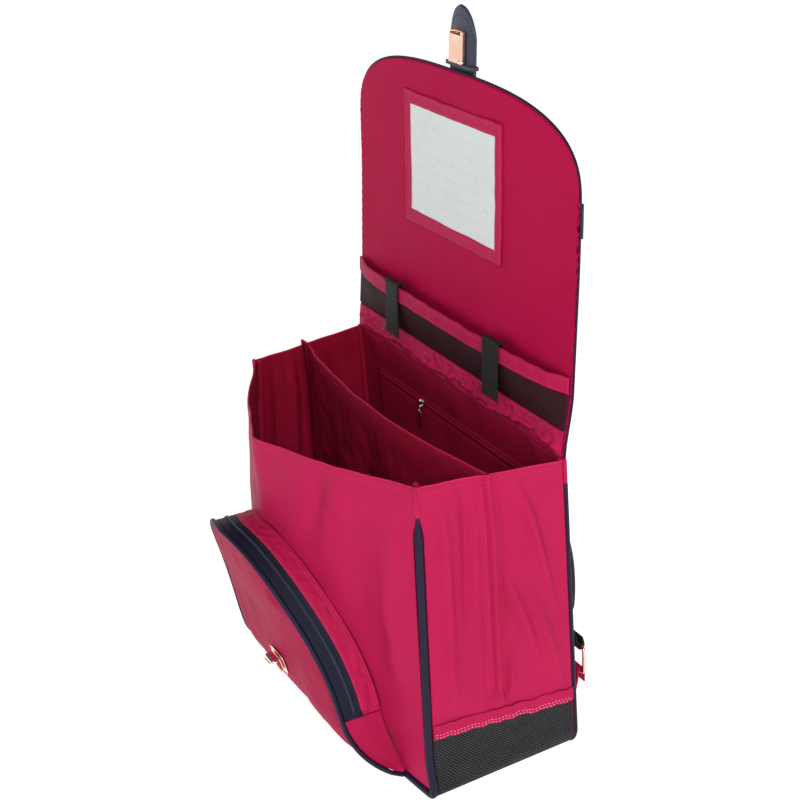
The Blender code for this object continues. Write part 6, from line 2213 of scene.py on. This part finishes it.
@dataclass
class Back:
    """Back pad, shoulder straps, their webbing, rings and anchor tabs."""

    wear: Wardrobe
    form: BodyForm = BodyForm()
    pad_half: float = 0.098
    pad_foot: float = 0.045
    pad_drop: float = 0.033
    pad_thick: float = 0.011
    strap_width: float = 0.055
    strap_thick: float = 0.010
    strap_stand: float = 0.0065
    webbing: float = 1.5 * MM
    shrink: float = 0.0016
    ring_size: Tuple[float, float] = (0.034, 0.030)
    ring_radius: float = 1.7 * MM
    ring_z: float = 0.086
    ring_stand: float = 0.015
    ring_corner: float = 0.004
    ring_shift: float = 0.004
    anchor_from_edge: float = 0.0195
    anchor_foot: float = 0.022
    anchor_tail: float = 0.012
    webbing_tail: float = 0.007
    ease: float = 0.4 * MM
    route: Tuple[Tuple[float, float, float, float], ...] = (
        # across, height, stand-off, width
        (0.277, 0.922, 0.10, 0.80),
        (0.384, 0.871, 0.55, 0.95),
        (0.523, 0.786, 1.00, 1.00),
        (0.629, 0.688, 1.20, 1.00),
        (0.693, 0.583, 1.20, 1.00),
        (0.731, 0.481, 1.00, 0.90),
        (0.752, 0.400, 0.75, 0.70),
    )

    def build_pad(self) -> None:
        """Back pad, blown up from a slightly smaller slab, with two sewn channels pressed in."""
        form = self.form
        share, up = np.meshgrid(np.linspace(-1.0, 1.0, 41), np.linspace(-1.0, 1.0, 41))
        x = share * (self.pad_half - self.shrink)
        z = lerp(self.pad_foot + self.shrink, form.height - self.pad_drop - self.shrink, (up + 1.0) / 2.0)
        swell = ((1.0 - share ** 6) * (1.0 - up ** 6)) ** 0.5
        face = form.back_face(z) + GAP
        inner = places(x, face + 0.9 * MM, z)
        outer = places(x, face + lerp(0.55, 0.88, swell) * self.pad_thick, z)
        piece = skin("back_cushion", slab_rings(inner, outer)[::-1], self.wear.net)
        inflate(piece, 2.0 * MM)
        count = len(piece.data.vertices)
        spots = np.zeros(count * 3)
        piece.data.vertices.foreach_get("co", spots)
        spots = spots.reshape(-1, 3)
        height = spots[:, 1] - form.back_face(spots[:, 2])
        channel = np.exp(-((np.abs(spots[:, 0]) - self.pad_half / 3.0) / 0.0045) ** 2)
        rows = np.exp(-((spots[:, 2] - 0.5 * form.height) / 0.0045) ** 2)
        press = 0.6 * np.maximum(channel, rows) * np.clip(height, 0.0, None)
        spots[:, 1] = np.maximum(spots[:, 1] - press * (height > 0.35 * self.pad_thick),
                                  form.back_face(spots[:, 2]) + 0.25 * MM)
        piece.data.vertices.foreach_set("co", spots.ravel())
        piece.data.update()
        finish_piece(piece, Slot.NET, ("back_pad",))

    def strap_line(self) -> Tuple[Array, Array, Array, Array]:
        """Middle line, stand-off and width of the right shoulder strap, read from its table."""
        table = np.array(self.route)
        steps = np.linspace(0.0, len(table) - 1.0, 49)
        across, height, stand, width = [np.interp(steps, np.arange(len(table)), table[:, column])
                                        for column in range(4)]
        z = height * self.form.height
        seat = self.form.back_face(z) + 2.0 * GAP + self.pad_thick + self.strap_stand * stand
        return across * self.form.back_half, seat, z, width * self.strap_width

    def build_straps(self) -> None:
        """Padded shoulder straps, the left one mirrored from the right after its simulation."""
        x, seat, z, width = self.strap_line()
        run = unit(np.stack((np.gradient(x), np.gradient(z)), -1))
        shares = np.linspace(-1.0, 1.0, 21)[None, :]
        narrow = width[:, None] - 2.0 * self.shrink
        across_x = x[:, None] - run[:, 1:] * shares * narrow / 2
        across_z = z[:, None] + run[:, :1] * shares * narrow / 2
        swell = self.strap_thick * lerp(0.60, 0.90, 1.0 - shares ** 4)
        inner = places(across_x, seat[:, None] + 0.8 * MM, across_z)
        outer = places(across_x, seat[:, None] + swell, across_z)
        right = skin("shoulder_pad_right", slab_rings(inner, outer), self.wear.webbing)
        inflate(right, 2.0 * MM)
        left = bpy.data.objects.new("shoulder_pad_left", right.data.copy())
        bpy.context.scene.collection.objects.link(left)
        left.data.transform(Matrix.Scale(-1.0, 4, (1.0, 0.0, 0.0)))
        left.data.flip_normals()
        soften(left)
        left.data.name = "shoulder_pad_left"
        for piece, word in ((right, "right"), (left, "left")):
            finish_piece(piece, Slot.WEBBING, ("shoulder_strap_" + word,))

    def build_ends(self) -> None:
        """Webbing, ring and anchor tab at the foot of each strap."""
        form, wear = self.form, self.wear
        x, seat, z, _ = self.strap_line()
        end_y = float(seat[-1]) - GAP - self.webbing / 2
        ring_x = form.back_half - self.anchor_from_edge - self.ring_shift
        ring_y = float(form.back_face(np.array(self.ring_z))) + self.ring_stand
        room = self.ring_size[0] - 2.0 * (self.ring_radius + self.ring_corner)
        top = self.ring_z + self.ring_size[1] / 2 - self.ring_radius
        low = self.ring_z - self.ring_size[1] / 2 + self.ring_radius
        clear = self.ring_radius + GAP + self.webbing / 2 + self.ease
        turn = np.linspace(0.0, math.pi, 25)
        start_z, start_x = float(z[-5]), float(x[-5])
        free = np.linspace(0.0, 1.0, 20)[:-1]
        heights = np.concatenate((lerp(start_z, top, free), top - clear * np.sin(turn),
                                  top + self.webbing_tail * np.array((0.4, 1.0))))
        depths = np.concatenate((lerp(end_y, ring_y - clear, smooth(free * 1.05)),
                                 ring_y - clear * np.cos(turn), np.full(2, ring_y + clear)))
        bend = smooth((heights - top) / (start_z - top))
        clear_tab = self.ring_radius + GAP + form.cloth / 2 + self.ease
        low_y = float(form.back_face(np.array(self.anchor_foot))) + GAP + form.cloth / 2
        tab_heights = np.concatenate((lerp(self.anchor_foot, low, free), low + clear_tab * np.sin(turn),
                                      low - self.anchor_tail * np.array((0.4, 1.0))))
        tab_depths = np.concatenate((lerp(low_y, ring_y - clear_tab, smooth(free * 1.1 - 0.1)),
                                     ring_y - clear_tab * np.cos(turn), np.full(2, ring_y + clear_tab)))
        shares = np.linspace(-0.5, 0.5, 13)[None, :] * room
        for sign, word in SIDES:
            middle = lerp(ring_x, start_x, bend)
            across = sign * middle[:, None] + shares
            points = np.stack(np.broadcast_arrays(across, depths[:, None], heights[:, None]), -1)
            surface("strap_web_" + word, points, self.webbing, wear.webbing, Slot.WEBBING,
                    ("strap_webbing_" + word,))
            across = sign * ring_x + shares + 0.0 * tab_heights[:, None]
            points = np.stack(np.broadcast_arrays(across, tab_depths[:, None], tab_heights[:, None]), -1)
            surface("ring_anchor_" + word, points, form.cloth, wear.wall, Slot.BAG, ("anchor_tab_" + word,))
            angle = turns(96)
            half = np.array(self.ring_size) / 2 - self.ring_radius
            ring = places(sign * ring_x + half[0] * squared(np.cos(angle), 0.28),
                          ring_y + 0.0 * angle,
                          self.ring_z + half[1] * squared(np.sin(angle), 0.28))
            tube("strap_loop_" + word, ring, self.ring_radius, wear.metal, Slot.METAL,
                 ("strap_ring_" + word,), 14, closed=True)


# Studio

@dataclass
class Studio:
    """Camera, soft lights and the pale floor.

    Attributes:
        place: Where the camera stands.
        azimuth: Way it looks from, in degrees from -Y towards +X.
        elevation: Height of the way it looks from, in degrees.
        roll: Turn about its own axis, in degrees.
        focal: Focal length in pixels of an 800-pixel frame.
        room: Half-width of the floor, and radius of the pale wall round it.
        wall_height: Height of that wall.
        world: Strength of the even light from all round.
        lights: The soft lights.
    """

    place: Tuple[float, float, float] = (1.209, -0.606, 0.898)
    azimuth: float = 63.1
    elevation: float = 24.0
    roll: float = -3.1
    focal: float = 1633.0
    room: float = 20.0
    wall_height: float = 5.4
    world: float = 0.10
    lights: Tuple[Tuple[str, Tuple[float, ...], Tuple[float, ...], float, float], ...] = (
        # name, place, target, size, power
        ("key", (2.2, -0.65, 1.5), (0.0, 0.0, 0.25), 0.8, 38.0),
        ("top", (0.3, -1.2, 2.2), (0.0, 0.1, 0.45), 1.2, 8.0),
        ("side", (-0.6, -2.0, 0.9), (0.0, 0.0, 0.25), 1.4, 1.5),
    )

    def build_camera(self) -> None:
        """Camera whose axes are turned from the azimuth, the elevation and the roll."""
        azimuth, elevation, roll = map(math.radians, (self.azimuth, self.elevation, self.roll))
        back = Vector((math.sin(azimuth) * math.cos(elevation), -math.cos(azimuth) * math.cos(elevation),
                       math.sin(elevation)))
        right = Vector((math.cos(azimuth), math.sin(azimuth), 0.0))
        up = back.cross(right)
        right, up = (right * math.cos(roll) + up * math.sin(roll),
                     up * math.cos(roll) - right * math.sin(roll))
        camera = bpy.data.cameras.new("camera")
        camera.sensor_width = 36.0
        camera.lens = 36.0 * self.focal / 800.0
        camera.dof.use_dof = False
        camera.clip_start = 0.05
        holder = bpy.data.objects.new("camera", camera)
        holder.matrix_world = Matrix((
            (right.x, up.x, back.x, self.place[0]), (right.y, up.y, back.y, self.place[1]),
            (right.z, up.z, back.z, self.place[2]), (0.0, 0.0, 0.0, 1.0)))
        bpy.context.scene.collection.objects.link(holder)
        bpy.context.scene.camera = holder

    def add_light(self, name: str, place: Sequence[float], target: Sequence[float], size: float,
                  power: float) -> None:
        """Square soft light at a place, aimed at a target.

        Args:
            name: Name of the light.
            place: Where it stands.
            target: What it is aimed at.
            size: Side of its square.
            power: Power in watts.
        """
        light = bpy.data.lights.new(name, "AREA")
        light.size = size
        light.energy = power
        holder = bpy.data.objects.new(name, light)
        aim = Vector(target) - Vector(place)
        holder.matrix_world = Matrix.Translation(place) @ aim.to_track_quat("-Z", "Y").to_matrix().to_4x4()
        bpy.context.scene.collection.objects.link(holder)

    def build(self) -> None:
        """Floor, pale surroundings and three soft lights."""
        self.build_camera()
        pale = Plain("pale_floor", (0.90, 0.90, 0.90)).material()
        floor = make_object("floor", np.array(((-1, -1, 0), (1, -1, 0), (1, 1, 0), (-1, 1, 0))) * self.room,
                            [[0, 1, 2, 3]], np.zeros((4, 2)), (pale,))
        angle = turns(48)
        ring = places(self.room * np.cos(angle), self.room * np.sin(angle), 0.0 * angle)
        faces = quads(2, len(angle), False, True)[0]
        wall = make_object("backdrop", np.concatenate((ring, ring + np.array((0.0, 0.0, self.wall_height)))),
                           faces.tolist(), np.zeros((faces.size, 2)), (pale,))
        world = bpy.data.worlds.new("pale_room")
        world.use_nodes = True
        shade = world.node_tree.nodes["Background"]
        shade.inputs[0].default_value = (1.0, 1.0, 1.0, 1.0)
        shade.inputs[1].default_value = self.world
        bpy.context.scene.world = world
        bpy.context.scene.view_settings.view_transform = "Standard"
        for light in self.lights:
            self.add_light(*light)


def main() -> None:
    """Load the frame and build each class in order."""
    logging.basicConfig(level=logging.INFO, format="%(name)s: %(message)s")
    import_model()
    Studio().build()
    wear = Wardrobe()
    body = Body(wear)
    flap = Flap(wear)
    pocket = FrontPocket(wear)
    back = Back(wear)
    steps = (
        ("walls", body.build_walls), ("base", body.build_base), ("edges", body.build_edges),
        ("inner seams", body.build_inner_seams),
        ("inside", body.build_inside), ("flap panel", flap.build_panel), ("net pocket", flap.build_pocket),
        ("card window", flap.build_window), ("outside of the flap", flap.build_outside),
        ("closure", Closure(wear).build), ("pocket walls", pocket.build_walls),
        ("pocket face", pocket.build_face), ("lock", pocket.build_lock), ("back pad", back.build_pad),
        ("shoulder straps", back.build_straps), ("strap ends", back.build_ends))
    for title, build in steps:
        build()
        LOG.info("built the %s", title)
    pull = ZipPull(wear)
    pull.build("inner_zip_slider", "inner_zip_pull", Slot.METAL, wear.bright)
    pull.build("pocket_zip_slider", "pocket_zip_pull", Slot.METAL, wear.metal)


if __name__ == "__main__":
    main()
